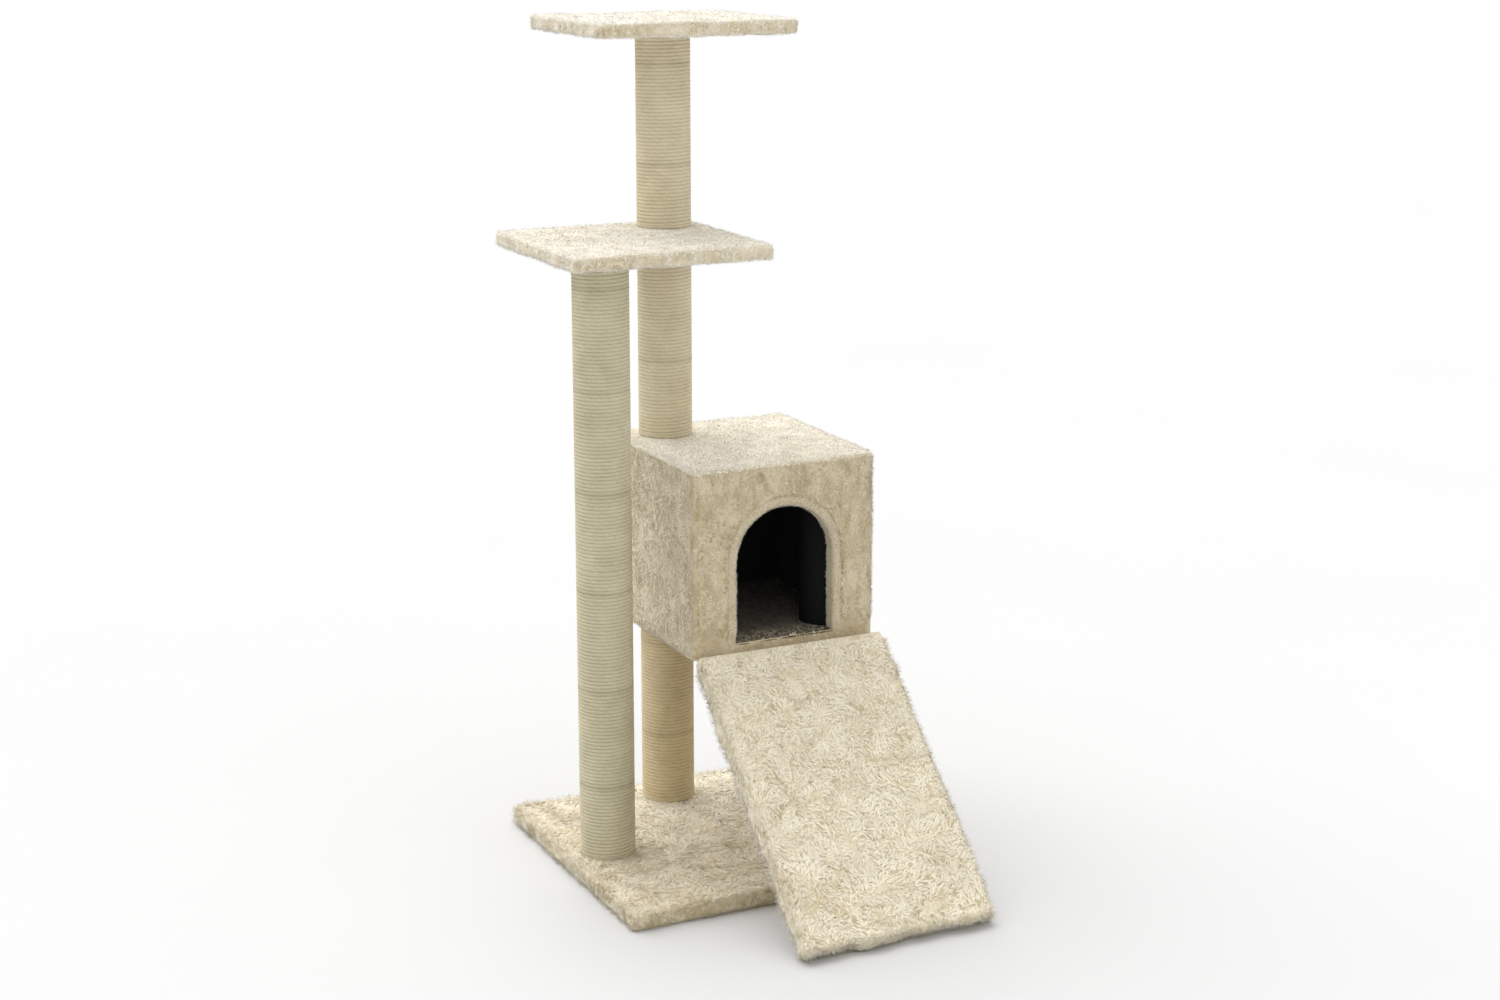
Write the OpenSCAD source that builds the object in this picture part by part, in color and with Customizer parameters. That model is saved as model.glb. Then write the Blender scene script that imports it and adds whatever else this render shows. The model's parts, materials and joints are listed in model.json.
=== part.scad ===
// Cat tree: a plush base, sisal posts, a little house with an arched door, two platforms
// and a hinged ramp up to the door.
// Millimetres, +Z up. The origin is the centre of the base's underside, the door faces -Y.

/* [Base] */
// Width of the base along X, over its plush
base_w = 400; // [390:5:460]
// Depth of the base along Y, over its plush
base_d = 400; // [390:5:460]
// Thickness of the base board and of the ramp board
thick_board = 15; // [14:1:18]
// How far the base plush is turned under the board before the felt starts
turn_under = 28; // [20:1:30]

/* [Posts] */
// Outer diameter of a post over its sisal rope
post_d = 70; // [66:1:74]
// Thickness of the wound sisal rope
rope_t = 4.5; // [4:0.5:6]
// Wall of the cardboard tubes
tube_wall = 3.5; // [2.5:0.5:4]
// Length of the two lower posts, from the base to the house
lower_post_h = 256; // [220:1:300]
// Length of the post between the house and the middle platform
middle_post_h = 254.5; // [200:0.5:320]
// Length of the post between the two platforms
upper_post_h = 246; // [200:1:320]
// Length of the plug in each end of a tube
plug_h = 20; // [18:1:30]
// Axis of the tall post, X
tall_x = -147; // [-150:1:-140]
// Axis of the tall post, Y
tall_y = 3; // [-10:1:10]
// Axis of the rear posts, X
rear_x = 4; // [0:1:10]
// Axis of the rear posts, Y
rear_y = 151; // [145:1:155]
// Axis of the front lower post, X
front_x = 149; // [145:1:150]
// Axis of the front lower post, Y
front_y = -16; // [-16:1:0]

/* [House] */
// Width of the house along X
house_w = 252; // [245:1:260]
// Depth of the house along Y
house_d = 260; // [255:1:270]
// Height of the house
house_h = 243; // [230:1:280]
// Left face of the house, X
house_x = -56; // [-60:1:-50]
// Front face of the house, Y
house_y = -63; // [-66:1:-60]
// Thickness of the house walls and of the platform boards
thin_board = 12; // [11:1:14]
// Clear width of the door
door_w = 135; // [120:1:150]
// Height of the door from its sill to the top of the arch
door_h = 170; // [150:1:185]
// Width of the plush rim on the front of the door
rim_w = 9; // [6:1:12]
// How far the rim stands out of the front
rim_proud = 2.5; // [1:0.5:2.5]

/* [Platforms] */
// Width and depth of the middle platform
middle_size = [259, 260]; // [250:1:270]
// Left front corner of the middle platform
middle_at = [-207, -64]; // [-210:1:-60]
// Width and depth of the top platform
top_size = [262, 236]; // [220:1:270]

/* [Ramp] */
// Width of the ramp
ramp_w = 256; // [250:1:260]
// Length of the ramp
ramp_l = 400; // [390:5:420]
// Distance of each ramp hinge from the middle of the ramp
hinge_off = 80; // [60:1:80]
// Length of a hinge along its pin
hinge_l = 36; // [30:3:42]

/* [Covers] */
// Thickness of the plush
plush_t = 2.5; // [2:0.5:3]
// Thickness of the black lining in the house
lining_t = 1; // [0.5:0.5:1.5]
// Corner radius of the base, the platforms and the ramp
corner_r = 10; // [8:1:12]
// Corner radius of the house
house_r = 6; // [4:1:7]

/* [Hidden] */
$fn = 96;

// Overshoot of a cut past the face it opens
cut = 1;
// Clearance between two pieces that fit into each other
fit = 0.05;

// Heights of the main faces
base_t = thick_board + 2 * plush_t;
slab_t = thin_board + 2 * plush_t;
house_z = base_t + lower_post_h;
house_top_z = house_z + house_h;
middle_z = house_top_z + middle_post_h;
top_z = middle_z + slab_t + upper_post_h;
tall_joint_z = (base_t + middle_z) / 2;

// Posts
post_r = post_d / 2;
tube_r = post_r - rope_t;
plug_r = tube_r - tube_wall - fit;
tall_at = [tall_x, tall_y];
rear_at = [rear_x, rear_y];
front_at = [front_x, front_y];

// M8 bolts, washers and studs
bolt_r = 4;
bolt_hole_r = 4.2;
head_r = 7;
head_h = 4.8;
socket_af = 5;
socket_h = 3;
washer_r = 11;
washer_t = 1.6;
sink_r = 12;
sink_h = washer_t + head_h + 0.2;
access_r = 13;
stud_end = plug_h - 1;
base_bolt_l = thick_board - sink_h + plush_t + stud_end;
platform_bolt_l = thin_board - sink_h + plush_t + stud_end;

// The house: the boards start one plush in from its faces
board_x = house_x + plush_t;
board_y = house_y + plush_t;
board_w = house_w - 2 * plush_t;
board_d = house_d - 2 * plush_t;
wall_z = house_z + plush_t + thin_board;
wall_top_z = house_top_z - plush_t - thin_board;
wall_h = wall_top_z - wall_z;
side_d = board_d - 2 * thin_board;
ceiling_z = wall_top_z - lining_t;
sill_z = wall_z + plush_t;
house_tube_h = ceiling_z - sill_z;
door_x = house_x + house_w / 2;
door_r = door_w / 2;
arch_z = sill_z + door_h - door_r;

// Wood screws in the house
screw_r = 1.75;
screw_l = 30;
screw_head_r = 3.5;
screw_head_h = 2;
screw_rows = [0.12, 0.5, 0.88];
wall_screw_rows = [0.22, 0.78];
left_wall_mid = board_x + thin_board / 2;
right_wall_mid = board_x + board_w - thin_board / 2;

// The ramp and its hinges: sizes are given with the ramp level, then it is swung down
hinge_drop = 3;
pin_y = house_y - 2;
pin_z = house_z - hinge_drop;
ramp_gap = 1;
floor_gap = 0.3;
ramp_t = thick_board + 2 * plush_t;
ramp_x = door_x - ramp_w / 2;
ramp_reach = ramp_l + ramp_gap;
ramp_swing = atan(hinge_drop / ramp_reach)
    + asin((pin_z - floor_gap) / sqrt(pow(ramp_reach, 2) + pow(hinge_drop, 2)));
leaf_t = 1.6;
leaf_d = 12;
knuckle_r = 2.8;
knuckle_gap = 0.2;
knuckle_clear_r = 3.05;
knuckle_l = hinge_l / 3;
pin_r = 1.4;
pin_fit = 0.02;
leaf_screw_l = 12;
leaf_screw_y = 8.4;
leaf_screw_x = 11;
leaf_head_r = 2.9;
leaf_head_h = 1.2;
hinge_xs = [door_x - hinge_off, door_x + hinge_off];

// Colours
plush_light = [0.90, 0.86, 0.77];
plush_beige = [0.80, 0.74, 0.62];
sisal_tone = [0.72, 0.67, 0.54];
card_tone = [0.62, 0.48, 0.33];
chipboard_tone = [0.76, 0.62, 0.43];
black_tone = [0.06, 0.06, 0.06];
felt_tone = [0.25, 0.25, 0.25];
plastic_tone = [0.15, 0.15, 0.16];
steel_tone = [0.72, 0.73, 0.74];

// ---- Shared shapes ----

// A flat plate with rounded corners, its lowest corner at the origin.
module plate(w, d, t, r) {
    linear_extrude(t)
        union() {
            translate([r, 0]) square([w - 2 * r, d]);
            translate([0, r]) square([w, d - 2 * r]);
            for (x = [r, w - r], y = [r, d - r])
                translate([x, y]) circle(r = r);
        }
}

// A vertical hole that starts at height z.
module hole(at, z, r, h) {
    translate([at[0], at[1], z]) cylinder(r = r, h = h);
}

// A tube that stands on height z.
module tube(at, z, h, outer_r, wall) {
    translate([at[0], at[1], z])
        difference() {
            cylinder(r = outer_r, h = h);
            translate([0, 0, -cut]) cylinder(r = outer_r - wall, h = h + 2 * cut);
        }
}

// The cardboard core of a post.
module core(at, z, h) {
    color(card_tone) tube(at, z, h, tube_r - fit, tube_wall);
}

// The wound rope around a post.
module sisal(at, z, h) {
    color(sisal_tone) tube(at, z, h, post_r, rope_t);
}

// The plugs in both ends of a tube that stands on height z.
module plugs(at, z, h) {
    color(plastic_tone)
        for (plug_z = [z, z + h - plug_h])
            tube(at, plug_z, plug_h, plug_r, plug_r - bolt_r - fit);
}

// A bolt with its head at the origin and its shank along +Z.
module bolt(l) {
    color(steel_tone)
        difference() {
            union() {
                translate([0, 0, -head_h]) cylinder(r = head_r, h = head_h);
                cylinder(r = bolt_r, h = l);
            }
            translate([0, 0, -head_h - cut])
                cylinder(r = socket_af / sqrt(3), h = socket_h + cut, $fn = 6);
        }
}

module washer(at, z) {
    tube(at, z, washer_t, washer_r, washer_r - bolt_hole_r);
}

module stud(at, z, through) {
    translate([at[0], at[1], z - stud_end])
        cylinder(r = bolt_r, h = through + 2 * stud_end);
}

// A countersunk wood screw: its head's flat face at the origin, its shank along -Z.
module wood_screw(grow) {
    translate([0, 0, -screw_head_h])
        cylinder(r1 = screw_r + grow, r2 = screw_head_r + grow, h = screw_head_h + grow);
    translate([0, 0, -screw_l - grow])
        cylinder(r = screw_r + grow, h = screw_l + grow);
}

// Every wood screw of the house, grown by a clearance when it is used as a hole.
module house_screw_set(grow) {
    for (x = [left_wall_mid, right_wall_mid]) {
        for (row = screw_rows) {
            y = board_y + thin_board + row * side_d;
            translate([x, y, house_top_z - plush_t]) wood_screw(grow);
            translate([x, y, house_z + plush_t]) rotate([180, 0, 0]) wood_screw(grow);
        }
        for (row = wall_screw_rows) {
            z = wall_z + row * wall_h;
            translate([x, board_y, z]) rotate([90, 0, 0]) wood_screw(grow);
            translate([x, board_y + board_d, z]) rotate([-90, 0, 0]) wood_screw(grow);
        }
    }
}

// The solid shape of the door's passage, grown outwards and running along Y from below the sill.
module door_shape(grow, y, depth) {
    translate([door_x, y + depth, 0])
        rotate([90, 0, 0])
            linear_extrude(depth)
                union() {
                    translate([-door_r - grow, wall_z - cut])
                        square([door_w + 2 * grow, arch_z - wall_z + cut]);
                    translate([0, arch_z]) circle(r = door_r + grow);
                }
}

// A platform's board, its lowest corner at (at, z).
module platform_board(at, z, size) {
    translate([at[0] + plush_t, at[1] + plush_t, z + plush_t])
        plate(size[0] - 2 * plush_t, size[1] - 2 * plush_t, thin_board, corner_r - plush_t);
}

// The plush all round a platform's board.
module platform_plush(at, z, size) {
    color(plush_light)
        difference() {
            translate([at[0], at[1], z]) plate(size[0], size[1], slab_t, corner_r);
            platform_board(at, z, size);
            children();
        }
}

// The hidden recess for a bolt that comes down through a board, above height z.
module bolt_seat(at, z) {
    hole(at, z - thin_board - cut, bolt_hole_r, thin_board + 2 * cut);
    hole(at, z - sink_h, sink_r, sink_h + cut);
}

module platform_bolt(at, board_top_z) {
    translate([at[0], at[1], board_top_z - sink_h + washer_t])
        rotate([180, 0, 0]) bolt(platform_bolt_l + washer_t);
}

// Swings a piece that was drawn with the ramp level down to where the ramp rests.
module on_ramp() {
    translate([0, pin_y, pin_z])
        rotate([ramp_swing, 0, 0])
            translate([0, -pin_y, -pin_z]) children();
}

module level_ramp_board() {
    translate([ramp_x + plush_t, pin_y - ramp_reach + plush_t, house_z + plush_t])
        plate(ramp_w - 2 * plush_t, ramp_l - 2 * plush_t, thick_board, corner_r - plush_t);
}

// Both screws of one leaf on its +Y side, seen from the pin, with their heads below the leaf.
module leaf_screws(grow) {
    for (x = [-leaf_screw_x, leaf_screw_x])
        translate([x, leaf_screw_y, hinge_drop - leaf_t]) {
            translate([0, 0, -leaf_head_h]) cylinder(r = leaf_head_r, h = leaf_head_h);
            cylinder(r = screw_r + grow, h = leaf_screw_l + grow);
        }
}

// A piece of the knuckle along X, between two shares of the hinge's length.
module knuckle(from, to, r) {
    translate([-hinge_l / 2 + from, 0, 0])
        rotate([0, 90, 0]) cylinder(r = r, h = to - from, $fn = 48);
}

// A leaf on the +Y side of its pin. The outer leaf has two knuckles, the inner one has one.
module leaf(outer) {
    difference() {
        union() {
            difference() {
                translate([-hinge_l / 2, 0, hinge_drop - leaf_t])
                    cube([hinge_l, leaf_d, leaf_t]);
                if (outer) {
                    knuckle(knuckle_l - knuckle_gap, 2 * knuckle_l + knuckle_gap,
                        knuckle_clear_r);
                } else {
                    knuckle(-cut, knuckle_l + knuckle_gap, knuckle_clear_r);
                    knuckle(2 * knuckle_l - knuckle_gap, hinge_l + cut, knuckle_clear_r);
                }
            }
            if (outer) {
                knuckle(0, knuckle_l - knuckle_gap, knuckle_r);
                knuckle(2 * knuckle_l + knuckle_gap, hinge_l, knuckle_r);
            } else {
                knuckle(knuckle_l, 2 * knuckle_l, knuckle_r);
            }
        }
        knuckle(-cut, hinge_l + cut, pin_r + (outer ? pin_fit : fit));
        leaf_screws(fit);
    }
}

// Puts a hinge piece that was drawn around its pin under the house's front edge.
module at_hinges() {
    for (x = hinge_xs)
        translate([x, pin_y, pin_z]) children();
}

// ---- Base ----

module base_bolt_points() {
    for (at = [tall_at, rear_at, front_at])
        translate([at[0], at[1], 0]) children();
}

module base_board_blank() {
    translate([-base_w / 2 + plush_t, -base_d / 2 + plush_t, plush_t])
        plate(base_w - 2 * plush_t, base_d - 2 * plush_t, thick_board, corner_r - plush_t);
}

module base_felt_blank() {
    translate([-base_w / 2 + turn_under, -base_d / 2 + turn_under, 0])
        plate(base_w - 2 * turn_under, base_d - 2 * turn_under, plush_t, corner_r);
}

module base_board() {
    color(chipboard_tone)
        difference() {
            base_board_blank();
            base_bolt_points() {
                cylinder(r = bolt_hole_r, h = base_t);
                cylinder(r = sink_r, h = plush_t + sink_h);
            }
        }
}

module base_plush() {
    color(plush_light)
        difference() {
            translate([-base_w / 2, -base_d / 2, 0]) plate(base_w, base_d, base_t, corner_r);
            base_board_blank();
            translate([0, 0, -cut]) base_felt_blank();
            base_felt_blank();
            base_bolt_points() cylinder(r = bolt_hole_r, h = base_t + cut);
        }
}

module base_felt() {
    color(felt_tone)
        difference() {
            base_felt_blank();
            base_bolt_points() translate([0, 0, -cut]) cylinder(r = access_r, h = base_t);
        }
}

module base_bolts() {
    base_bolt_points() translate([0, 0, plush_t + sink_h - washer_t]) bolt(base_bolt_l + washer_t);
}

module base_washers() {
    color(steel_tone)
        for (at = [tall_at, rear_at, front_at])
            washer(at, plush_t + sink_h - washer_t);
}

// ---- Posts ----

module tall_post_lower_tube() { core(tall_at, base_t, tall_joint_z - base_t); }

module tall_post_upper_tube() { core(tall_at, tall_joint_z, middle_z - tall_joint_z); }

module tall_post_lower_sisal() { sisal(tall_at, base_t, tall_joint_z - base_t); }

module tall_post_upper_sisal() { sisal(tall_at, tall_joint_z, middle_z - tall_joint_z); }

module tall_post_lower_plugs() { plugs(tall_at, base_t, tall_joint_z - base_t); }

module tall_post_upper_plugs() { plugs(tall_at, tall_joint_z, middle_z - tall_joint_z); }

module tall_post_stud() { color(steel_tone) stud(tall_at, tall_joint_z, 0); }

module rear_lower_tube() { core(rear_at, base_t, lower_post_h); }

module rear_lower_sisal() { sisal(rear_at, base_t, lower_post_h); }

module front_lower_tube() { core(front_at, base_t, lower_post_h); }

module front_lower_sisal() { sisal(front_at, base_t, lower_post_h); }

module lower_post_plugs() {
    plugs(rear_at, base_t, lower_post_h);
    plugs(front_at, base_t, lower_post_h);
}

module house_rear_tube() {
    color(black_tone) tube(rear_at, sill_z, house_tube_h, tube_r, tube_wall);
}

module house_front_tube() {
    color(black_tone) tube(front_at, sill_z, house_tube_h, tube_r, tube_wall);
}

module house_tube_plugs() {
    plugs(rear_at, sill_z, house_tube_h);
    plugs(front_at, sill_z, house_tube_h);
}

module rear_middle_tube() { core(rear_at, house_top_z, middle_post_h); }

module rear_middle_sisal() { sisal(rear_at, house_top_z, middle_post_h); }

module rear_upper_tube() { core(rear_at, middle_z + slab_t, upper_post_h); }

module rear_upper_sisal() { sisal(rear_at, middle_z + slab_t, upper_post_h); }

module rear_post_plugs() {
    plugs(rear_at, house_top_z, middle_post_h);
    plugs(rear_at, middle_z + slab_t, upper_post_h);
}

// The studs that join two posts through the board between them.
module board_studs() {
    color(steel_tone) {
        stud(rear_at, house_z, sill_z - house_z);
        stud(front_at, house_z, sill_z - house_z);
        stud(rear_at, ceiling_z, house_top_z - ceiling_z);
        stud(rear_at, middle_z, slab_t);
    }
}

// The bolts that hold a board down on the post below it, hidden under the plush.
module platform_bolts() {
    platform_bolt(tall_at, middle_z + slab_t - plush_t);
    platform_bolt(rear_at, top_z + slab_t - plush_t);
    platform_bolt(front_at, house_top_z - plush_t);
}

module platform_washers() {
    color(steel_tone) {
        washer(tall_at, middle_z + slab_t - plush_t - sink_h);
        washer(rear_at, top_z + slab_t - plush_t - sink_h);
        washer(front_at, house_top_z - plush_t - sink_h);
    }
}

// ---- House ----

module house_floor() {
    color(chipboard_tone)
        difference() {
            translate([board_x, board_y, house_z + plush_t]) cube([board_w, board_d, thin_board]);
            hole(rear_at, house_z, bolt_hole_r, slab_t + cut);
            hole(front_at, house_z, bolt_hole_r, slab_t + cut);
            house_screw_set(fit);
            at_hinges() leaf_screws(fit);
        }
}

module house_roof() {
    color(chipboard_tone)
        difference() {
            translate([board_x, board_y, wall_top_z]) cube([board_w, board_d, thin_board]);
            hole(rear_at, ceiling_z, bolt_hole_r, slab_t + cut);
            bolt_seat(front_at, house_top_z - plush_t);
            house_screw_set(fit);
        }
}

module house_left_wall() {
    color(chipboard_tone)
        difference() {
            translate([board_x, board_y + thin_board, wall_z]) cube([thin_board, side_d, wall_h]);
            house_screw_set(fit);
        }
}

module house_right_wall() {
    color(chipboard_tone)
        difference() {
            translate([board_x + board_w - thin_board, board_y + thin_board, wall_z])
                cube([thin_board, side_d, wall_h]);
            house_screw_set(fit);
        }
}

module house_back_wall() {
    color(chipboard_tone)
        difference() {
            translate([board_x, board_y + board_d - thin_board, wall_z])
                cube([board_w, thin_board, wall_h]);
            house_screw_set(fit);
        }
}

module house_front_wall() {
    color(chipboard_tone)
        difference() {
            translate([board_x, board_y, wall_z]) cube([board_w, thin_board, wall_h]);
            door_shape(plush_t, board_y - cut, thin_board + 2 * cut);
            house_screw_set(fit);
        }
}

module house_screws() { color(steel_tone) house_screw_set(0); }

// The plush around the four walls, open over the boards' outer faces.
module house_wall_plush() {
    color(plush_beige)
        difference() {
            translate([house_x, house_y, house_z]) plate(house_w, house_d, house_h - plush_t, house_r);
            translate([board_x, board_y, house_z - cut]) cube([board_w, board_d, house_h + 2 * cut]);
            intersection() {
                door_shape(plush_t, house_y - cut, plush_t + 2 * cut);
                translate([house_x, house_y - cut, sill_z]) cube([house_w, house_d, house_h]);
            }
        }
}

module house_roof_plush() {
    color(plush_light)
        difference() {
            translate([house_x, house_y, house_top_z - plush_t])
                plate(house_w, house_d, plush_t, house_r);
            hole(rear_at, ceiling_z, bolt_hole_r, slab_t + cut);
        }
}

module house_floor_plush() {
    color(plush_beige)
        difference() {
            translate([board_x, board_y, house_z]) cube([board_w, board_d, plush_t]);
            hole(rear_at, house_z - cut, bolt_hole_r, slab_t + cut);
            hole(front_at, house_z - cut, bolt_hole_r, slab_t + cut);
            at_hinges() leaf_screws(fit);
        }
}

// The black lining on the inside of the walls and under the roof.
module house_lining() {
    inner_x = board_x + thin_board;
    inner_y = board_y + thin_board;
    inner_w = board_w - 2 * thin_board;
    color(black_tone)
        difference() {
            translate([inner_x, inner_y, wall_z]) cube([inner_w, side_d, wall_h]);
            translate([inner_x + lining_t, inner_y + lining_t, wall_z - cut])
                cube([inner_w - 2 * lining_t, side_d - 2 * lining_t, wall_h - lining_t + cut]);
            door_shape(plush_t, inner_y - cut, lining_t + 2 * cut);
            hole(rear_at, wall_z, bolt_hole_r, house_h);
            hole(front_at, wall_z, bolt_hole_r, house_h);
        }
}

// The carpet on the floor, with a tongue through the doorway.
module house_carpet() {
    carpet_x = board_x + thin_board + lining_t;
    carpet_y = board_y + thin_board + lining_t;
    color(plush_beige)
        difference() {
            union() {
                translate([carpet_x, carpet_y, wall_z])
                    cube([board_w - 2 * (thin_board + lining_t), side_d - 2 * lining_t, plush_t]);
                translate([door_x - door_r - plush_t, board_y, wall_z])
                    cube([door_w + 2 * plush_t, thin_board + lining_t + cut, plush_t]);
            }
            hole(rear_at, wall_z - cut, bolt_hole_r, slab_t);
            hole(front_at, wall_z - cut, bolt_hole_r, slab_t);
        }
}

// The plush strip that covers the door's edge and stands out of the front as a soft rim.
module door_rim() {
    color(plush_light)
        difference() {
            union() {
                door_shape(plush_t, house_y, plush_t + thin_board + lining_t);
                door_shape(rim_w, house_y - rim_proud, rim_proud);
            }
            door_shape(0, house_y - rim_proud - cut, house_d / 2);
            translate([house_x, house_y - 2 * rim_proud, wall_z - cut])
                cube([house_w, house_d / 2, plush_t + cut]);
        }
}

// ---- Platforms ----

module middle_board() {
    color(chipboard_tone)
        difference() {
            platform_board(middle_at, middle_z, middle_size);
            hole(rear_at, middle_z, bolt_hole_r, slab_t);
            bolt_seat(tall_at, middle_z + slab_t - plush_t);
        }
}

module middle_plush() {
    platform_plush(middle_at, middle_z, middle_size) {
        hole(rear_at, middle_z - cut, bolt_hole_r, slab_t + 2 * cut);
        hole(tall_at, middle_z - cut, bolt_hole_r, plush_t + 2 * cut);
    }
}

top_at = [rear_x - top_size[0] / 2, rear_y - top_size[1] / 2];

module top_board() {
    color(chipboard_tone)
        difference() {
            platform_board(top_at, top_z, top_size);
            bolt_seat(rear_at, top_z + slab_t - plush_t);
        }
}

module top_plush() {
    platform_plush(top_at, top_z, top_size)
        hole(rear_at, top_z - cut, bolt_hole_r, plush_t + 2 * cut);
}

// ---- Ramp ----

module ramp_board() {
    color(chipboard_tone)
        on_ramp()
            difference() {
                level_ramp_board();
                at_hinges() rotate([0, 0, 180]) leaf_screws(fit);
            }
}

module ramp_plush() {
    color(plush_light)
        on_ramp()
            difference() {
                translate([ramp_x, pin_y - ramp_reach, house_z])
                    plate(ramp_w, ramp_l, ramp_t, corner_r);
                level_ramp_board();
                at_hinges() rotate([0, 0, 180]) leaf_screws(fit);
            }
}

module hinge_house_leaves() { color(steel_tone) at_hinges() leaf(true); }

module hinge_ramp_leaves() {
    color(steel_tone) on_ramp() at_hinges() rotate([0, 0, 180]) leaf(false);
}

module hinge_pins() {
    color(steel_tone) at_hinges() knuckle(0, hinge_l, pin_r);
}

module hinge_house_screws() { color(steel_tone) at_hinges() leaf_screws(0); }

module hinge_ramp_screws() {
    color(steel_tone) on_ramp() at_hinges() rotate([0, 0, 180]) leaf_screws(0);
}

base_board();
base_plush();
base_felt();
base_bolts();
base_washers();
tall_post_lower_tube();
tall_post_upper_tube();
tall_post_lower_sisal();
tall_post_upper_sisal();
tall_post_lower_plugs();
tall_post_upper_plugs();
tall_post_stud();
rear_lower_tube();
rear_lower_sisal();
front_lower_tube();
front_lower_sisal();
lower_post_plugs();
house_rear_tube();
house_front_tube();
house_tube_plugs();
rear_middle_tube();
rear_middle_sisal();
rear_upper_tube();
rear_upper_sisal();
rear_post_plugs();
board_studs();
platform_bolts();
platform_washers();
house_floor();
house_roof();
house_left_wall();
house_right_wall();
house_back_wall();
house_front_wall();
house_screws();
house_wall_plush();
house_roof_plush();
house_floor_plush();
house_lining();
house_carpet();
door_rim();
middle_board();
middle_plush();
top_board();
top_plush();
ramp_board();
ramp_plush();
hinge_house_leaves();
hinge_ramp_leaves();
hinge_pins();
hinge_house_screws();
hinge_ramp_screws();
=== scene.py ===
# Cat tree: cloth, pile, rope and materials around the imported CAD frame.
# Metres, +Z up, the door faces -Y. Places come from the frame; sizes are named below.
import itertools
import json
import math
from collections import namedtuple

import bpy
import numpy as np
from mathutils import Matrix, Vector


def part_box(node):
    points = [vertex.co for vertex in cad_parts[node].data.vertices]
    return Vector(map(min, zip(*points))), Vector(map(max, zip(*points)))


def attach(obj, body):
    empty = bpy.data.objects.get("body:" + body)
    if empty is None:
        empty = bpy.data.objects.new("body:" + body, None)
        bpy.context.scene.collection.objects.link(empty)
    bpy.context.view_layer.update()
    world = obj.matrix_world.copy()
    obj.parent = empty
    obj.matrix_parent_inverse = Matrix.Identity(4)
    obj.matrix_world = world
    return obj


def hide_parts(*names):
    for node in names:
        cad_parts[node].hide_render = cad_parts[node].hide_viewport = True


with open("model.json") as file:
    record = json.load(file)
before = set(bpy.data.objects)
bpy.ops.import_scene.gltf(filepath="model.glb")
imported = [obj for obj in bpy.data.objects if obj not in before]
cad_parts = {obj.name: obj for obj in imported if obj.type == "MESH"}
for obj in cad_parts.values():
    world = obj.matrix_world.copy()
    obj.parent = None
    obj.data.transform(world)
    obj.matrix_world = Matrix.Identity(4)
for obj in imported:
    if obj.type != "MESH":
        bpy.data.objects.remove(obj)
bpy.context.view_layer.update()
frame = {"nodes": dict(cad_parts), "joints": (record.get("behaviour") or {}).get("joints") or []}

MM = 0.001
EVERY_SIDE = ("left", "right", "front", "back")

# ---- Sizes that the CAD model also has ----

PLUSH_T = 2.5 * MM
POST_R = 35 * MM
ROPE_T = 4.5 * MM
DOOR_R = 67.5 * MM
RIM_W = 9 * MM
HINGE_DROP = 3 * MM
HINGE_L = 36 * MM
HINGE_LEAF = 13 * MM
RAMP_L = 400 * MM
RAMP_T = 20 * MM
RAMP_GAP = 1 * MM
FLOOR_GAP = 0.3 * MM
FELT_HOLE_R = 13 * MM


def corners(node):
    """The lowest and highest corner of a CAD node, as arrays."""
    lo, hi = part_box(node)
    return np.array(lo), np.array(hi)


def axis_of(node):
    """The X and Y of an upright post's axis."""
    lo, hi = corners(node)
    return (lo[:2] + hi[:2]) / 2


TALL = axis_of("tall_post_lower_sisal")
REAR = axis_of("rear_lower_sisal")
FRONT = axis_of("front_lower_sisal")
PIN = np.array(frame["joints"][0]["pos_m"])
PINS_LO, PINS_HI = corners("hinge_pins")
HINGE_XS = (PINS_LO[0] + HINGE_L / 2, PINS_HI[0] - HINGE_L / 2)
BASE_TOP = corners("base_plush")[1][2]
HOUSE_LO, HOUSE_HI = corners("house_wall_plush")
ROOF_TOP = corners("house_roof_plush")[1][2]
CARPET_LO, CARPET_HI = corners("house_carpet")
SILL = CARPET_HI[2]
RIM_LO, RIM_HI = corners("door_rim")
DOOR_X = (RIM_LO[0] + RIM_HI[0]) / 2
ARCH_Z = RIM_HI[2] - DOOR_R - RIM_W

# The ramp is built level and then swung down about its pin
RAMP_REACH = RAMP_L + RAMP_GAP
RAMP_SWING = math.atan(HINGE_DROP / RAMP_REACH) + math.asin(
    (PIN[2] - FLOOR_GAP) / math.hypot(RAMP_REACH, HINGE_DROP)
)
RAMP_LO = np.array([corners("ramp_plush")[0][0], PIN[1] - RAMP_REACH, PIN[2] + HINGE_DROP])
RAMP_HI = np.array([corners("ramp_plush")[1][0], PIN[1] - RAMP_GAP, RAMP_LO[2] + RAMP_T])


def swing(vectors, about=0):
    """Points, or directions with about at 0, turned as the ramp is at rest."""
    c, s = math.cos(RAMP_SWING), math.sin(RAMP_SWING)
    turn = np.array([[1, 0, 0], [0, c, -s], [0, s, c]])
    return (vectors - about) @ turn.T + about


# ---- Noise, grids and meshes ----

LATTICE = 64


def noise_field(seed, cell):
    """A smooth random function of points, about -1 to 1, whose lumps are cell metres across."""
    table = np.random.default_rng(seed).uniform(-1, 1, (LATTICE,) * 3)

    def value(points):
        scaled = points / cell
        base = np.floor(scaled).astype(int)
        share = scaled - base
        share = share * share * (3 - 2 * share)
        total = np.zeros(len(points))
        for corner in itertools.product((0, 1), repeat=3):
            at = (base + corner) % LATTICE
            weight = np.prod(np.where(corner, share, 1 - share), axis=1)
            total += weight * table[at[:, 0], at[:, 1], at[:, 2]]
        return total

    return value


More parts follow.
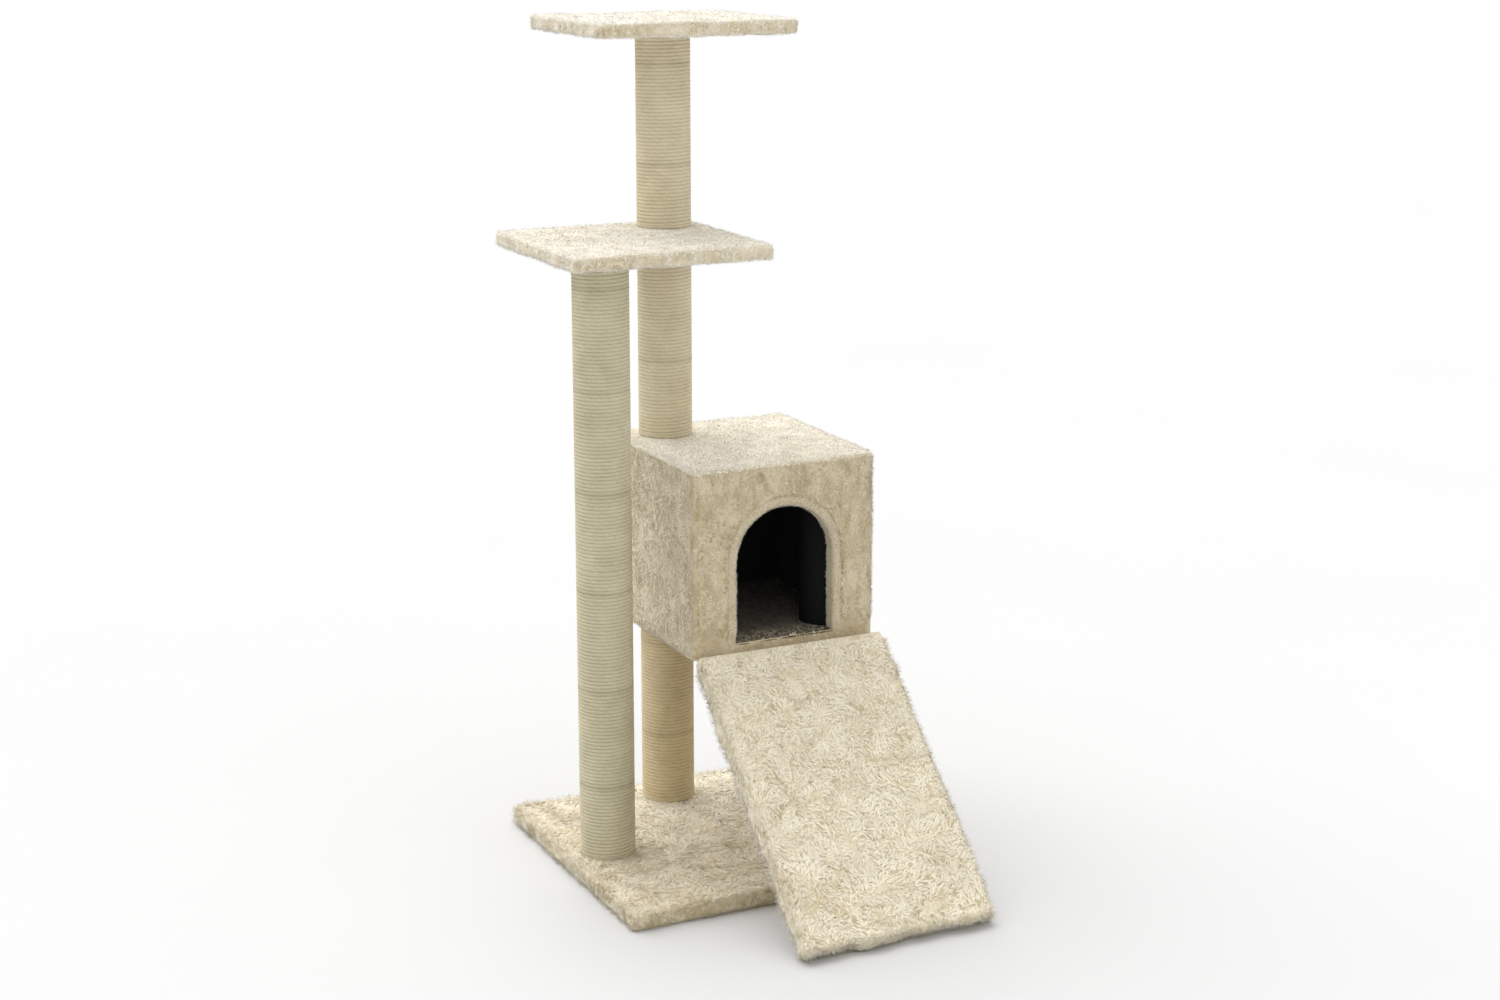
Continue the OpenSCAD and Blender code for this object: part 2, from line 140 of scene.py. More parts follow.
def smooth(value, low, high):
    """0 below low, 1 above high, and a smooth step between."""
    t = np.clip((value - low) / (high - low), 0, 1)
    return t * t * (3 - 2 * t)


def unit(vectors):
    """The vectors at length 1."""
    return vectors / np.maximum(np.linalg.norm(vectors, axis=-1, keepdims=True), 1e-9)


def add(name, data):
    """A new object in the scene."""
    obj = bpy.data.objects.new(name, data)
    bpy.context.scene.collection.objects.link(obj)
    return obj


def strip_quads(rows, columns):
    """The faces of a grid of points, row by row."""
    first = np.arange(rows - 1)[:, None] * columns + np.arange(columns - 1)
    return first.reshape(-1, 1) + np.array([0, columns, columns + 1, 1])


def piece(name, points, faces, body, replaced, materials, normals=None, tones=None):
    """A shaded mesh that rides on a body and stands for some CAD nodes."""
    mesh = bpy.data.meshes.new(name)
    rows = [row for block in faces for row in block.tolist()]
    mesh.from_pydata(points.tolist(), [], rows)
    for material in materials:
        mesh.materials.append(material)
    mesh.polygons.foreach_set("use_smooth", np.ones(len(rows), bool))
    if tones is not None:
        mesh.polygons.foreach_set("material_index", tones.astype(np.int32))
    if normals is not None:
        mesh.normals_split_custom_set_from_vertices(normals.tolist())
    mesh.update()
    obj = add(name, mesh)
    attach(obj, body)
    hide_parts(*replaced)
    return obj


# Each side of a box: its axis, and the end of that axis that it is at
BOX_SIDES = {
    "left": (0, 0), "right": (0, 1), "front": (1, 0),
    "back": (1, 1), "bottom": (2, 0), "top": (2, 1),
}


EDGE_BAND = 1.5 * MM


class Cloth:
    """A grid of cloth: its points, its faces, and the way out of it at each point."""

    def __init__(self, points, quads, normals, core=None):
        self.points = points
        self.quads = quads
        self.normals = normals
        self.core = core

    def raised(self, height):
        """The cloth with each point moved out by its own height, and its normals made again."""
        points = self.points + self.normals * height[:, None]
        moved = Cloth(points, self.quads, np.zeros_like(points), self.core)
        across = moved.crosses()
        for corner in range(4):
            np.add.at(moved.normals, self.quads[:, corner], across)
        moved.normals = unit(moved.normals)
        return moved

    def cut(self, inside):
        """The cloth without the faces whose middles inside() picks, and without loose points."""
        middles = self.points[self.quads].mean(axis=1)
        quads = self.quads[~inside(middles)]
        used, quads = np.unique(quads, return_inverse=True)
        return Cloth(self.points[used], quads.reshape(-1, 4), self.normals[used], self.core)

    def hug(self, points, root, lift):
        """Points past an edge of the box, bent round it to lie lift above the cloth at root."""
        if self.core is None:
            return points
        inside, foot = np.clip(points, *self.core), np.clip(root, *self.core)
        away = np.linalg.norm(points - inside, axis=-1, keepdims=True)
        reach = np.linalg.norm(root - foot, axis=-1, keepdims=True) + lift
        return inside + unit(points - inside) * np.minimum(away, reach)

    def crosses(self):
        """The way out of each face, as long as twice its area."""
        at = self.points[self.quads]
        return np.cross(at[:, 2] - at[:, 0], at[:, 3] - at[:, 1])

    def areas(self):
        """Each face's area."""
        return np.linalg.norm(self.crosses(), axis=1) / 2

    def scatter(self, per_m2, rng):
        """Random points on the cloth, and the way out of it at each."""
        areas = self.areas()
        count = int(areas.sum() * per_m2)
        picked = rng.choice(len(areas), count, p=areas / areas.sum())
        a, b = rng.random((2, count, 1))
        weights = np.stack([(1 - a) * (1 - b), a * (1 - b), a * b, (1 - a) * b], 1)
        root = (self.points[self.quads[picked]] * weights).sum(axis=1)
        out = unit((self.normals[self.quads[picked]] * weights).sum(axis=1))
        return root, out

    def on_edge(self, points):
        """Which points are where two sides of the box meet, or within EDGE_BAND of that."""
        if self.core is None:
            return np.ones(len(points), bool)
        lo, hi = self.core
        outside = (points < lo + EDGE_BAND) | (points > hi - EDGE_BAND)
        return outside.sum(axis=1) >= 2


def box_cloth(lo, hi, sides, round_lo, round_hi, step):
    """Cloth over some sides of a box, its edges rounded by a radius per axis at each end."""
    counts = np.maximum(2, np.round((hi - lo) / step).astype(int))
    quads = []
    for axis, end in (BOX_SIDES[side] for side in sides):
        u, v = (a for a in range(3) if a != axis)
        grid = np.stack(np.meshgrid(range(counts[u]), range(counts[v]), indexing="ij"), -1)
        grid = grid.reshape(-1, 2)
        around = []
        for du, dv in ((0, 0), (1, 0), (1, 1), (0, 1)):
            at = np.zeros((len(grid), 3), int)
            at[:, u] = grid[:, 0] + du
            at[:, v] = grid[:, 1] + dv
            at[:, axis] = end * counts[axis]
            around.append(at)
        outward = 0 if axis == 1 else 1
        quads.append(np.stack(around if end == outward else around[::-1], 1))
    keys, index = np.unique(np.concatenate(quads).reshape(-1, 3), axis=0, return_inverse=True)
    sharp = lo + keys * (hi - lo) / counts
    span = (lo + round_lo, hi - round_hi)
    core = np.clip(sharp, *span)
    normals = unit(sharp - core)
    radius = np.where(sharp < core, round_lo, round_hi)
    return Cloth(core + normals * radius, index.reshape(-1, 4), normals, span)


def near_posts(points, posts, radius):
    """Which points are inside one of some upright posts."""
    found = np.zeros(len(points), bool)
    for post in posts:
        found |= np.hypot(points[:, 0] - post[0], points[:, 1] - post[1]) < radius
    return found


def by_hinges(points, grow):
    """Which points are along one of the hinges in X, each grown at both ends."""
    return np.any([np.abs(points[:, 0] - x) < HINGE_L / 2 + grow for x in HINGE_XS], axis=0)


# ---- Pile: tufts of fibre that are rooted in a cloth ----


# How a pile's tufts are cut: sizes in metres, how they stand as shares of length, and the slot
Tuft = namedtuple("Tuft", "per_m2 length width blades middle tip scatter cell slot")

LONG = Tuft(
    125000, 8.4 * MM, 2.0 * MM, 2, (0.45, 0.14), (1.0, 0.02), 0.45, 19 * MM, "long_plush"
)
SHORT = Tuft(
    125000, 4.2 * MM, 1.9 * MM, 2, (0.45, 0.18), (0.95, 0.02), 0.7, 16 * MM, "short_plush"
)
RIM = Tuft(260000, 3.0 * MM, 1.6 * MM, 2, (0.45, 0.2), (0.9, 0.03), 0.7, 12 * MM, "short_plush")
CARPET = Tuft(90000, 3.2 * MM, 2.2 * MM, 2, (0.45, 0.2), (0.9, 0.03), 0.7, 16 * MM, "carpet")

# The share of tufts that stand up out of the rest, how much further, and the power of that
# by which their tips rise; how deep every tuft is rooted
STRAYS = 0.01
STRAY_RISE = 2.4
TIP_LIFT = 3
ROOT_SUNK = 0.3 * MM


def flow(points, cell, seed):
    """A direction at each point that turns smoothly, for the way that the pile lies."""
    return np.stack([noise_field(seed + axis, cell)(points) for axis in range(3)], 1)


def laid(ways, out):
    """Ways turned to lie along the cloth, at length 1."""
    return unit(ways - (ways * out).sum(axis=1, keepdims=True) * out)


def tufts(cloth, tuft, seed, bare=None, tall=None, lean=None, proud=None):
    """Points, faces and normals of a pile on a cloth, and its roots.

    bare() picks roots to leave out, tall() and proud() scale a tuft's length and rise, and lean
    is a common direction."""
    rng = np.random.default_rng(seed)
    root, out = cloth.scatter(tuft.per_m2, rng)
    count = len(root)
    along = flow(root, tuft.cell, seed + 1) + rng.normal(0, tuft.scatter * 0.4, (count, 3))
    if lean is not None:
        along = along + np.array(lean)
    along = laid(along, out)
    length = tuft.length * rng.uniform(0.7, 1.2, count)
    length *= 1 + 0.35 * noise_field(seed + 5, tuft.length * 1.5)(root)
    if tall is not None:
        length *= tall(root)
    width = tuft.width * rng.uniform(0.7, 1.25, count)
    jitter = rng.uniform(0.75, 1.2, (count, tuft.blades))
    rise = np.where(rng.random(count) < STRAYS, STRAY_RISE, rng.uniform(0.6, 1.3, count))
    if proud is not None:
        rise *= proud(root)
    parts = [root, out, along, length, width, jitter, rise]
    if bare is not None:
        kept = ~bare(root)
        parts = [part[kept] for part in parts]
    return tuft_mesh(cloth, tuft, *parts), parts[0]


def tuft_mesh(cloth, tuft, root, out, along, length, width, jitter, rise):
    """Points, faces and normals of tufts: a strip of blades that split above their middle."""
    count, blades = len(root), tuft.blades
    aside = np.cross(along, out)
    edges = np.linspace(-0.5, 0.5, blades + 1)[None, :, None]
    middles = (edges[:, 1:] + edges[:, :-1]) / 2
    reach, span = length[:, None, None], width[:, None, None]
    r, o, f, s = (x[:, None, :] for x in (root, out, along, aside))
    steep = rise[:, None, None]
    up = reach * tuft.middle[1] * steep
    tip_up = reach * tuft.tip[1] * steep ** TIP_LIFT
    middle = r + f * tuft.middle[0] * reach + o * up + s * edges * span * 1.1
    tip = r + f * tuft.tip[0] * reach * jitter[:, :, None] + o * tip_up + s * middles * span * 1.6
    rows = [
        r - o * ROOT_SUNK + s * edges * span * 0.8,
        cloth.hug(middle, r, up),
        cloth.hug(tip, r, tip_up),
    ]
    fold = [
        o + s * edges * 0.7,
        o + f * 0.15 + s * edges * 0.8,
        o + f * 0.3 + s * middles * 0.8,
    ]
    points = np.concatenate(rows, axis=1)
    normals = unit(np.concatenate(fold, axis=1))
    per = points.shape[1]
    first = (np.arange(count) * per)[:, None]
    lower = [[c, c + 1, blades + 2 + c, blades + 1 + c] for c in range(blades)]
    upper = [[blades + 1 + c, blades + 2 + c, 2 * (blades + 1) + c] for c in range(blades)]
    quads = (first[:, :, None] + np.array(lower)[None]).reshape(-1, 4)
    tris = (first[:, :, None] + np.array(upper)[None]).reshape(-1, 3)
    return points.reshape(-1, 3), [quads, tris], normals.reshape(-1, 3)


# Loose fibres: how many, how thick, how long as a share of a tuft, how many stay off edges, how
# much lighter they are than the tufts, how steep they stand and where and how far they bend
HAIRS_PER_M2 = 360000
HAIR_R = 0.2 * MM
HAIR_LENGTH = (0.5, 1.15)
HAIRS_INSIDE = 0.04
HAIR_TONE = 0.25
HAIR_STEEP = (0.35, 0.95)
HAIR_KNEE = 0.55
HAIR_BEND = (0.2, 1.0)


def hairs(cloth, tuft, seed, left_out):
    """Points, faces and normals of loose fibres, and their roots.

    Each is a bent rod of three sides. Most are on the edges."""
    rng = np.random.default_rng(seed)
    root, out = cloth.scatter(HAIRS_PER_M2, rng)
    kept = cloth.on_edge(root) | (rng.random(len(root)) < HAIRS_INSIDE)
    for picks in left_out:
        if picks is not None:
            kept &= ~picks(root)
    root, out = root[kept], out[kept]
    count = len(root)
    along = laid(rng.normal(0, 1, (count, 3)), out)
    length = (tuft.length * rng.uniform(*HAIR_LENGTH, count))[:, None]
    steep = rng.uniform(*HAIR_STEEP, (count, 1))
    lead = unit(along * (1 - steep) + out * steep)
    side = unit(np.cross(along, out))
    over = np.cross(lead, side)
    middle = root + lead * length * HAIR_KNEE
    bent = unit(lead + along * rng.uniform(*HAIR_BEND, (count, 1)))
    tip = middle + bent * length * (1 - HAIR_KNEE)
    turns = [corner * math.tau / 3 for corner in range(3)]
    ring = [side * math.cos(turn) + over * math.sin(turn) for turn in turns]
    rows = [root - out * 0.2 * MM + way * HAIR_R for way in ring]
    rows += [middle + way * HAIR_R * 0.8 for way in ring]
    rows.append(tip)
    points = np.stack(rows, 1)
    normals = unit(np.stack([out + way * 0.5 for way in ring] * 2 + [out], 1))
    first = (np.arange(count) * len(rows))[:, None, None]
    quads = first + np.array([[0, 1, 4, 3], [1, 2, 5, 4], [2, 0, 3, 5]])
    tris = first + np.array([[3, 4, 6], [4, 5, 6], [5, 3, 6]])
    faces = [quads.reshape(-1, 4), tris.reshape(-1, 3)]
    return (points.reshape(-1, 3), faces, normals.reshape(-1, 3)), root


def tone_index(value, count):
    """Turns a tone from 0 to 1 into the number of one of the tone materials."""
    return np.clip((value * count).astype(int), 0, count - 1)


TONE_JITTER = 0.07


def pile_piece(
    name, cloth, tuft, seed, node, tones, tone_of, body="tree",
    place=None, bare=None, calm=None, **how,
):
    """A pile as a piece of its own: tufts in several tones, and paler loose fibres.

    bare() picks roots with no pile, and calm() picks roots with no loose fibres."""
    (points, faces, normals), root = tufts(cloth, tuft, seed, bare, **how)
    rng = np.random.default_rng(seed + 9)
    level = tone_of(root) + rng.normal(0, TONE_JITTER, len(root))
    shades = [np.repeat(tone_index(level, len(tones)), tuft.blades)] * 2
    (loose, rods, facing), root = hairs(cloth, tuft, seed + 11, (bare, calm))
    faces += [block + len(points) for block in rods]
    shades += [np.repeat(tone_index(tone_of(root) + HAIR_TONE, len(tones)), 3)] * 2
    shades = np.concatenate(shades)
    points = np.concatenate([points, loose])
    normals = np.concatenate([normals, facing])
    if place is not None:
        points, normals = place(points, normals)
    points[:, 2] = np.maximum(points[:, 2], FLOOR_GAP)
    return piece(name, points, faces, body, [node], tones, normals, shades)


# ---- Materials ----


class Shader:
    """A material with a Principled shader, and short calls for the nodes that feed it."""

    def __init__(self, name, **sockets):
        self.material = bpy.data.materials.new(name)
        self.material.use_nodes = True
        self.tree = self.material.node_tree
        self.shader = self.tree.nodes["Principled BSDF"]
        for socket, value in sockets.items():
            self.shader.inputs[socket.replace("_", " ")].default_value = value
        self.place = self.node("ShaderNodeTexCoord").outputs["Object"]

    def node(self, kind, inputs=(), **settings):
        """A node with its settings and its inputs, each a value or another node's output."""
        node = self.tree.nodes.new(kind)
        for key, value in settings.items():
            setattr(node, key, value)
        for key, value in dict(inputs).items():
            self.put(node.inputs[key], value)
        return node

    def put(self, socket, value):
        if isinstance(value, bpy.types.NodeSocket):
            self.tree.links.new(value, socket)
        else:
            socket.default_value = value

    def stretch(self, scale, vector=None):
        """The place with each axis scaled."""
        inputs = {"Vector": vector or self.place, "Scale": scale}
        return self.node("ShaderNodeMapping", inputs).outputs["Vector"]

    def noise(self, size, detail=3.0, twist=0.0, vector=None, rough=0.5):
        """Noise whose lumps are size metres across."""
        inputs = {
            "Vector": vector or self.place, "Scale": 1 / size, "Detail": detail,
            "Distortion": twist, "Roughness": rough,
        }
        return self.node("ShaderNodeTexNoise", inputs).outputs["Fac"]

    def math(self, operation, a, b=0.0, c=0.0):
        node = self.node("ShaderNodeMath", operation=operation)
        for socket, value in zip(node.inputs, (a, b, c)):
            self.put(socket, value)
        return node.outputs["Value"]

    def remap(self, value, low, high, to_low=0.0, to_high=1.0):
        """The value taken from low..high to to_low..to_high, and held there."""
        inputs = {
            "Value": value, "From Min": low, "From Max": high,
            "To Min": to_low, "To Max": to_high,
        }
        return self.node("ShaderNodeMapRange", inputs).outputs["Result"]

    def mix(self, share, a, b):
        """Colour a to colour b by a share."""
        node = self.node("ShaderNodeMix", data_type="RGBA")
        self.put(node.inputs["Factor"], share)
        self.put(node.inputs["A"], a)
        self.put(node.inputs["B"], b)
        return node.outputs["Result"]

    def colour(self, value):
        self.put(self.shader.inputs["Base Color"], value)

    def rough(self, value, to_low, to_high, low=0.3, high=0.7):
        """Roughness from to_low to to_high as a value goes from low to high."""
        self.put(self.shader.inputs["Roughness"], self.remap(value, low, high, to_low, to_high))

    def along_axis(self, axis, vector=None):
        """One of a vector's parts, of the place if none is given."""
        return self.node("ShaderNodeSeparateXYZ", {"Vector": vector or self.place}).outputs[axis]

    def bump(self, height, distance, strength=1.0):
        """Bump from a height from 0 to 1, distance metres deep."""
        inputs = {"Height": height, "Distance": distance, "Strength": strength}
        self.put(self.shader.inputs["Normal"], self.node("ShaderNodeBump", inputs).outputs["Normal"])


def srgb(red, green, blue):
    """A linear colour from screen values of 0 to 255."""
    def channel(value):
        value /= 255
        return value / 12.92 if value <= 0.04045 else ((value + 0.055) / 1.055) ** 2.4
    return (channel(red), channel(green), channel(blue), 1.0)


def blend(a, b, share):
    """The colour between two others."""
    return tuple(x + (y - x) * share for x, y in zip(a, b))


SHEEN = 0.6
CARPET_SHEEN = 0.1


def plush_backing(name, light, dark, sheen=SHEEN):
    """The knitted cloth under the pile: soft blotches, fine fibres, and thin crease lines darkened
    as painted shade.
    """
    s = Shader(name, Sheen_Weight=sheen, Sheen_Roughness=0.5, IOR=1.4)
    blotch = s.remap(s.noise(34 * MM, 3.0, 0.6), 0.4, 0.62)
    fine = s.noise(4 * MM, 4.0)
    # Painted shade: the crease lines darken the colour.
    crease = s.math("ABSOLUTE", s.math("SUBTRACT", s.noise(26 * MM, 2.0, 1.2), 0.5))
    crease = s.remap(crease, 0.0, 0.03, 0.35, 0.0)
    share = s.math("MULTIPLY_ADD", fine, 0.5, s.math("MULTIPLY", blotch, 0.5))
    share = s.math("ADD", share, crease)
    s.colour(s.mix(share, light, dark))
    s.rough(fine, 0.78, 0.95, 0.2, 0.8)
    s.bump(s.noise(1.2 * MM, 4.0, 0.3, s.stretch((1, 1, 0.45))), 0.6 * MM, 0.8)
    return s.material


def pile_tones(name, light, dark, count, sheen=SHEEN):
    """Tufts' materials, from dark to light. Each is one tone, with uneven roughness."""
    made = []
    for step in range(count):
        tone = blend(dark, light, step / (count - 1))
        s = Shader(
            f"{name}_{step}", Base_Color=tone, Sheen_Weight=sheen, Sheen_Roughness=0.45, IOR=1.4
        )
        s.rough(s.noise(3 * MM, 3.0), 0.7, 0.92)
        s.bump(s.noise(0.6 * MM, 2.0, 0.0, s.stretch((1, 1, 0.5))), 0.2 * MM, 0.5)
        made.append(s.material)
    return made


TURN_BAND = 126 * MM


def sisal(name, light, dark, first_band):
    """Twisted sisal: fibres along the turns, strands across them, a darker turn at each band."""
    s = Shader(name, IOR=1.45, Specular_IOR_Level=0.3)
    rope = s.node("ShaderNodeUVMap", uv_map="rope").outputs["UV"]
    fibre = s.noise(0.5 * MM, 4.0, 0.2, s.stretch((0.12, 3 * MM, 1), rope))
    strand = s.node("ShaderNodeTexWave", {
        "Vector": s.stretch((1 / (24 * MM), 0.5, 1), rope), "Scale": 1.0, "Distortion": 1.0,
        "Detail": 2.0, "Detail Scale": 2.0,
    }, bands_direction="DIAGONAL").outputs["Fac"]
    patch = s.noise(30 * MM, 3.0, 0.3)
    height = s.along_axis("Z")
    offset = s.math("SUBTRACT", height, first_band)
    offset = s.math("ADD", offset, s.math("MULTIPLY", patch, 3 * MM))
    turn = s.math("PINGPONG", offset, TURN_BAND / 2)
    band = s.remap(turn, 1.0 * MM, 5 * MM, 0.16, 0.0)
    share = s.math("MULTIPLY_ADD", fibre, 0.55, s.math("MULTIPLY", patch, 0.45))
    across = s.along_axis("Y", rope)
    # Painted shade: each turn darker towards its edges, where it meets the next turn.
    groove_shade = s.remap(s.math("ABSOLUTE", s.math("SUBTRACT", across, 0.5)), 0.2, 0.5, 0.0, 0.15)
    share = s.math("ADD", s.math("MULTIPLY_ADD", strand, 0.05, share), s.math("ADD", band, groove_shade))
    s.colour(s.mix(s.remap(share, 0.3, 1.1), light, dark))
    s.rough(fibre, 0.7, 0.92)
    s.bump(s.math("MULTIPLY_ADD", strand, 0.3, s.math("MULTIPLY", fibre, 0.5)), 0.3 * MM, 0.7)
    return s.material


def matted(name, dark, light, sheen, fibre, level, dents):
    """Cloth of matted fibres. fibre is their size and twist, dents are how deep and how strong."""
    s = Shader(name, IOR=1.4, Sheen_Weight=sheen)
    value = s.noise(fibre[0], 5.0, fibre[1])
    s.colour(s.mix(value, dark, light))
    s.rough(value, *level)
    s.bump(value, *dents)
    return s.material


def black_cloth():
    """The thin black non-woven lining."""
    return matted("black_cloth", srgb(16, 19, 16), srgb(30, 34, 29), 0.1, (1.6 * MM, 1.0),
                  (0.75, 0.95), (0.3 * MM, 0.7))


def around_axis(s, axis):
    """The angle about an upright axis, from 0 to 1."""
    inputs = {"Vector": s.place, "Location": (-axis[0], -axis[1], 0)}
    moved = s.node("ShaderNodeMapping", inputs).outputs["Vector"]
    return s.node("ShaderNodeTexGradient", {"Vector": moved}, gradient_type="RADIAL").outputs["Fac"]


def wound_card(name, light, dark, axis, pitch, level):
    """Card wound in a spiral, with a thin seam line and paper fibre."""
    s = Shader(name, IOR=1.45, Specular_IOR_Level=0.25)
    height = s.along_axis("Z")
    turns = s.math("MULTIPLY_ADD", height, 1 / pitch, around_axis(s, axis))
    seam = s.math("PINGPONG", turns, 0.5)
    line = s.remap(seam, 0.008, 0.02, 1.0, 0.0)
    grain = s.noise(1.5 * MM, 5.0, 0.2, s.stretch((1, 1, 0.3)))
    s.colour(s.mix(s.math("MULTIPLY_ADD", line, 0.5, s.math("MULTIPLY", grain, 0.5)), light, dark))
    s.rough(grain, *level)
    s.bump(s.math("SUBTRACT", s.math("MULTIPLY", grain, 0.4), line), 0.25 * MM, 0.6)
    return s.material


def chipboard():
    """Raw chipboard: pressed flakes of several browns."""
    s = Shader("chipboard", IOR=1.45)
    flakes = s.node("ShaderNodeTexVoronoi", {
        "Vector": s.stretch((1, 0.45, 1)), "Scale": 1 / (3 * MM), "Randomness": 1.0,
    }).outputs["Color"]
    flake = s.node("ShaderNodeSeparateColor", {"Color": flakes}).outputs["Red"]
    dust = s.noise(1.0 * MM, 4.0)
    share = s.math("MULTIPLY_ADD", flake, 0.6, s.math("MULTIPLY", dust, 0.4))
    s.colour(s.mix(share, srgb(205, 176, 130), srgb(150, 112, 72)))
    s.rough(dust, 0.7, 0.9)
    s.bump(share, 0.3 * MM, 0.6)
    return s.material


def plug_plastic():
    """Dark moulded plastic with a fine spark texture."""
    s = Shader("plug_plastic", IOR=1.5)
    grain = s.noise(0.5 * MM, 3.0)
    s.colour(s.mix(s.noise(12 * MM, 3.0), srgb(40, 40, 42), srgb(54, 54, 56)))
    s.rough(grain, 0.4, 0.6)
    s.bump(grain, 0.08 * MM, 0.5)
    return s.material


def zinc_steel():
    """Bright zinc-plated steel, brushed a little and duller in patches."""
    s = Shader("zinc_steel", Metallic=1.0)
    patch = s.noise(5 * MM, 4.0, 0.5)
    brush = s.noise(0.5 * MM, 3.0, 0.0, s.stretch((0.15, 1, 1)))
    s.colour(s.mix(patch, srgb(206, 208, 210), srgb(176, 178, 178)))
    s.rough(s.math("ADD", patch, brush), 0.25, 0.45, 0.6, 1.4)
    s.bump(brush, 0.03 * MM, 0.4)
    return s.material


def felt():
    """Grey needle felt."""
    return matted("felt", srgb(64, 64, 66), srgb(120, 119, 117), 0.3, (1.4 * MM, 1.5),
                  (0.85, 0.97), (0.5 * MM, 0.8))


def floor_paint():
    """The studio floor: plain, pale and matt."""
    s = Shader("floor_paint", Specular_IOR_Level=0.1)
    s.colour(s.mix(s.noise(0.8, 2.0), srgb(200, 200, 200), srgb(203, 203, 203)))
    s.rough(s.noise(0.3, 2.0), 0.85, 0.95)
    return s.material


# ---- Colours ----

CREAM = srgb(241, 232, 210)
CREAM_SHADE = srgb(197, 181, 143)
# A lighter copy of the cream plush for the roof and platforms: painted light on these tops.
LIT_PALE = srgb(249, 243, 229)
LIT_PALE_DARK = srgb(200, 184, 147)
# A darker copy of the cream plush for the house walls, underside, door rim and fringe: painted shade
# on upright and lower faces.
SHADED_BEIGE = srgb(224, 212, 185)
SHADED_BEIGE_DARK = srgb(178, 160, 123)

# The carpet's dark end, and its backing held near that end, are painted shade inside the house.
CARPET_LIGHT = srgb(205, 190, 158)
CARPET_PAINTED_SHADE = srgb(50, 44, 34)
TONES = 7
BACK_CREAM = plush_backing("cream_backing", blend(CREAM, CREAM_SHADE, 0.2), CREAM_SHADE)
BACK_SHADED_BEIGE = plush_backing("beige_backing", blend(SHADED_BEIGE, SHADED_BEIGE_DARK, 0.2), SHADED_BEIGE_DARK)
PILE_CREAM = pile_tones("cream_pile", CREAM, CREAM_SHADE, TONES)
PILE_LIT_PALE = pile_tones("pale_pile", LIT_PALE, LIT_PALE_DARK, TONES)
PILE_SHADED_BEIGE = pile_tones("beige_pile", SHADED_BEIGE, SHADED_BEIGE_DARK, TONES)
CARPET_SHADED_MIDDLE = blend(CARPET_LIGHT, CARPET_PAINTED_SHADE, 0.8)
BACK_CARPET = plush_backing("carpet_backing", CARPET_SHADED_MIDDLE, CARPET_PAINTED_SHADE, CARPET_SHEEN)
PILE_CARPET = pile_tones("carpet_pile", CARPET_LIGHT, CARPET_PAINTED_SHADE, TONES, CARPET_SHEEN)


# ---- The plush covers ----

BIG_LUMPS = noise_field(21, 48 * MM)
SMALL_LUMPS = noise_field(22, 15 * MM)
CREASES = noise_field(23, 21 * MM)
CREASE_BENDS = noise_field(24, 8 * MM)
CREASE_BREAKS = noise_field(30, 17 * MM)
TONE_PATCHES = noise_field(25, 40 * MM)
TONE_SPOTS = noise_field(26, 12 * MM)
TONE_FLECKS = noise_field(32, 5 * MM)
EDGE_WAVES = noise_field(27, 20 * MM)
STREAKS = noise_field(28, 4.5 * MM)


def crease(points):
    """0 along short winding lines where the long pile parts, and 1 away from them."""
    value = CREASES(points) + 0.35 * CREASE_BENDS(points)
    line = 1 - smooth(np.abs(value), 0.03, 0.15)
    return 1 - line * smooth(CREASE_BREAKS(points), -0.35, 0.15)


def long_height(points):
    """How far the long plush stands out or sinks."""
    return (
        0.8 * MM * BIG_LUMPS(points) + 0.8 * MM * SMALL_LUMPS(points)
        - 1.5 * MM * (1 - crease(points)) + 0.6 * MM
    )


def long_tone(lo, hi, level, rear=0.0):
    """The tone of the long plush on a board, from 0, dark, to 1, light.

    It is darker on the edges, as painted shade, and lighter by rear towards the back, as painted
    light."""
    def tone(points):
        patch = 0.12 * TONE_PATCHES(points) - 0.4 * smooth(TONE_PATCHES(points), 0.3, 0.75)
        patch += 0.24 * TONE_SPOTS(points) + 0.22 * TONE_FLECKS(points)
        gap = np.minimum(points[:, :2] - lo[:2], hi[:2] - points[:, :2]).min(axis=1)
        edge = 1 - smooth(gap, 0.5 * MM, 2.5 * MM)
        painted_light_rear = rear * smooth(points[:, 1], -60 * MM, 150 * MM) * smooth(points[:, 0], -0.2, 0.0)
        # Painted shade darkens the creases and the board's sides; painted light lightens the back by
        # rear.
        return level + painted_light_rear + patch - 0.9 * (1 - crease(points)) - 0.2 * edge
    return tone


def long_tall(points):
    """How long the long plush is: short along the creases."""
    return 0.45 + 0.55 * crease(points)


def long_proud(points):
    """How far the long plush stands up: more along the creases, where it turns over."""
    return 1 + 0.4 * (1 - crease(points))


def short_height(points):
    """How far the short plush stands out or sinks."""
    return 0.35 * MM * SMALL_LUMPS(points) + 0.5 * MM * BIG_LUMPS(points)


def short_tone(points):
    """The tone of the short plush on a flat face."""
    return 0.88 + 0.14 * TONE_SPOTS(points) + 0.12 * TONE_PATCHES(points)


def shaded_streak_tone(points):
    """The tone of the short plush on an upright face: upright streaks over a darker level, which is
    painted shade.
    """
    upright = points * np.array([1, 1, 0.25])
    return 0.55 + 0.5 * STREAKS(upright) + 0.22 * TONE_SPOTS(points)


def slab_tone(top, bottom, depth):
    """Light on the flat sides of a board and streaky on its edges, whose darker tone is painted
    shade.
    """
    def tone(points):
        edge = (points[:, 2] > bottom + depth) & (points[:, 2] < top - depth)
        # The edges' darker tone is painted shade.
        return np.where(edge, shaded_streak_tone(points) - 0.1, short_tone(points))
    return tone


